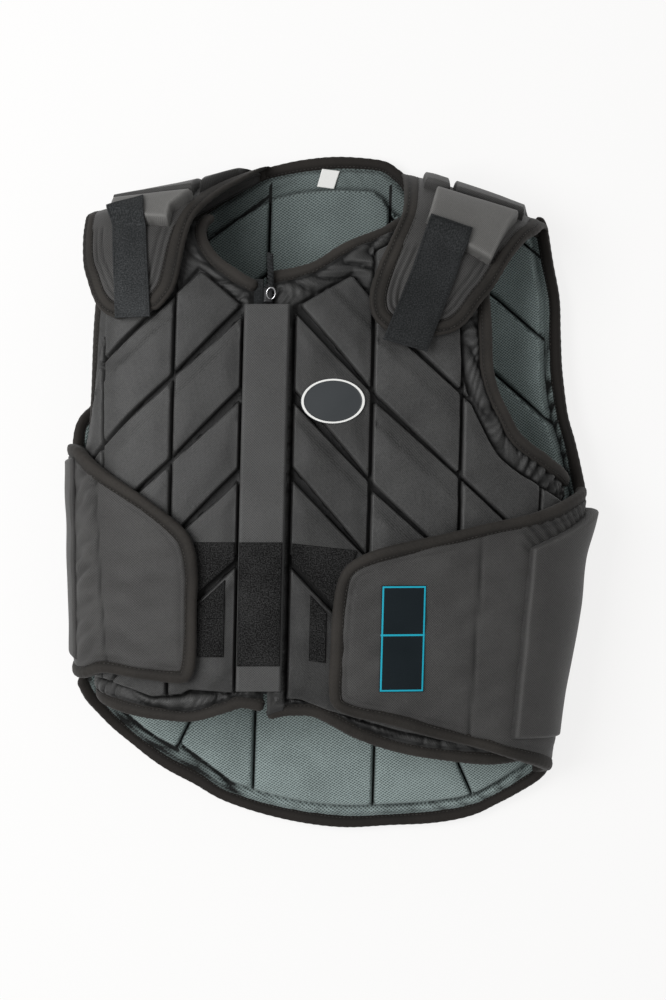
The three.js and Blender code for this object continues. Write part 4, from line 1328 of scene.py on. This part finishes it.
def zipRing():
    bm = bmesh.new()
    bm.verts.layers.float_vector.new("flat")
    t = np.linspace(0, 2 * math.pi, 41)
    (x, y, z), (a, b, c) = ringLook["middle"], ringLook["half"]
    tubeAlong(bm, frontPoint(x + a * np.cos(t), y + b * np.sin(t), z + c * np.sin(t)), ringLook["radius"])
    bmesh.ops.recalc_face_normals(bm, faces=bm.faces[:])
    finishMesh(bm, "zipRing", [materials["ringMetal"]])


zipPull()
zipRing()


def placketRelief(flat, deep):
    # painted highlight along the placket's rounded edge
    tone = 0.2 * np.exp(-(((deep - 1.8) / 1.2) ** 2))
    return 0.4 * smoothRise(deep / 14) + 0.3 * ripples(flat, 33, 40, 90), tone


placket = flatPiece("placket", box(-18.5, 19.5, -160, 163), frontPoint, -8.9, 8.0, "placketNylon",
                    "zip_placket", "nylon",
                    edge=2.2, coarse=3.0, relief=placketRelief)


def pileRelief(flat, deep):
    # painted shade along the patch edge
    return 0.35 * ripples(flat, 36, 2.5, 6), -0.1 * np.exp(-((deep - 1) ** 2))


flatPiece("loopPatch_placket", box(-17.5, 18, -138, -35), frontPoint, 8.5, 9.9, "loopPile",
          "loop_patch_placket", "loop_pile",
          ["placket"], coarse=1.6, relief=pileRelief)
patches = {
    "left": {"upper": [(21.5, -50), (55, -80), (55, -35), (21.5, -35)],
             "lower": [(29, -131), (52, -131), (52, -88), (29, -66)]},
    "right": {"upper": [(26, -51), (66, -92), (80, -42), (26, -36)],
              "lower": [(42, -134), (56, -136), (56, -94), (42, -79)]},
}
for side, cuts in patches.items():
    for part, corners in cuts.items():
        flatPiece(f"loopPatch_{side}_{part}", corners, placeOn[side], 0.8, 2.2, "loopPile",
                  f"loop_patch_{side}_{part}", "loop_pile",
                  [f"quiltedFront_{side}"], coarse=1.6, relief=pileRelief)
flatPiece("sizeLabel", [(-12.5, 277), (2.6, 275), (7.4, 291), (-8.5, 293)], backPoint, 14.0, 14.8,
          "whiteTape", "size_label", "white_tape",
          ["quiltedBack"], edge=0.5)


badgeLook = {"middle": (57.0, 82.0), "half": (27.0, 19.0), "rim": (0.90, 0.975)}


def badgeWarp(s, t):  # turns and rings of an ellipse
    (x, y), (a, b) = badgeLook["middle"], badgeLook["half"]
    return np.stack([x + a * t * np.cos(2 * math.pi * s), y + b * t * np.sin(2 * math.pi * s)], -1)


def badgeRing(flat):  # 0 in the middle, 1 at the edge
    return np.hypot(*((flat - badgeLook["middle"]) / badgeLook["half"]).T)


def badgeRelief(flat, deep):  # raised pale rim
    ring = badgeRing(flat)
    return 0.4 * smoothRise((ring - 0.86) / 0.05), np.zeros(len(flat))


def badgeInk(flat, deep):
    ring = badgeRing(flat)
    return (ring > badgeLook["rim"][0]) & (ring < badgeLook["rim"][1])


badgeEdge = badgeWarp(np.linspace(0, 1, 90), np.ones(90))
badge = softSlab("chestBadge", badgeWarp, (160.0, 19.0), frontPoint, 0.8, 2.0,
                 [materials["badgeGrey"], materials["whiteTape"]], edge=0.7,
                 coarse=2.0, relief=badgeRelief, rim=badgeEdge, marks=((), (0.86, 0.88, *badgeLook["rim"])),
                 paint=badgeInk)
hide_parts("chest_badge")


def labelLines(flat, deep):  # plain border and one dividing line
    return (deep < 1.9) & (deep > 0.4) | (np.abs(flat[:, 1] + 112.3) < 0.8)


flatPiece("flapLabel", box(100, 137, -160, -71), frontPoint, 11.0, 12.4, "labelCloth labelThread",
          "flap_label", "label_cloth",
          ["waistFlap_right"], edge=0.5, paint=labelLines, marks=((),
                  ((-113.1 + 160) / 89, (-111.5 + 160) / 89)))
print("zip, patches and labels laid")

# Floor, light and camera
stageLook = {"floor": (0.15, 0.15, 0.15), "glow": 0.82, "world": 0.46, "key": 32.0,
             "keyAt": (-1.05, 0.15, 1.75), "keySize": 1.1,
             "cameraHeight": 1.9, "lens": 76.75, "floorHalf": 6.0, "floorDrop": 0.0008}
floorMesh = bmesh.new()
bmesh.ops.create_grid(floorMesh, x_segments=1, y_segments=1, size=stageLook["floorHalf"])
bmesh.ops.translate(floorMesh, verts=floorMesh.verts[:], vec=(0, 0, -stageLook["floorDrop"]))
floorData = bpy.data.meshes.new("floor")
floorMesh.to_mesh(floorData)
floorMesh.free()
floor = bpy.data.objects.new("floor", floorData)
bpy.context.scene.collection.objects.link(floor)
floorPaint = bpy.data.materials.new("paleFloor")
floorPaint.use_nodes = True
floorShader = floorPaint.node_tree.nodes["Principled BSDF"]
floorShader.inputs["Base Color"].default_value = (*stageLook["floor"], 1)
floorShader.inputs["Roughness"].default_value = 0.9
floorShader.inputs["Specular IOR Level"].default_value = 0.0
floorShader.inputs["Emission Color"].default_value = (1.0, 0.995, 0.99, 1)
floorShader.inputs["Emission Strength"].default_value = stageLook["glow"]
floorData.materials.append(floorPaint)

world = bpy.data.worlds.new("studio")
bpy.context.scene.world = world
world.use_nodes = True
world.node_tree.nodes["Background"].inputs["Color"].default_value = (1.0, 1.0, 1.0, 1)
world.node_tree.nodes["Background"].inputs["Strength"].default_value = stageLook["world"]

keyData = bpy.data.lights.new("softKey", "AREA")
keyData.energy = stageLook["key"]
keyData.size = stageLook["keySize"]
key = bpy.data.objects.new("softKey", keyData)
key.location = stageLook["keyAt"]
key.rotation_euler = (Vector((0, 0, 0.1)) - Vector(stageLook["keyAt"])).to_track_quat("-Z", "Y").to_euler()
bpy.context.scene.collection.objects.link(key)

cameraData = bpy.data.cameras.new("overhead")
cameraData.lens = stageLook["lens"]
cameraData.sensor_width = 36.0
camera = bpy.data.objects.new("overhead", cameraData)
camera.location = (lie["middle"][0] * 0.001, lie["middle"][1] * 0.001, stageLook["cameraHeight"])
bpy.context.scene.collection.objects.link(camera)
bpy.context.scene.camera = camera
bpy.context.scene.view_settings.view_transform = "Standard"
print("stage set")

bpy.context.view_layer.update()
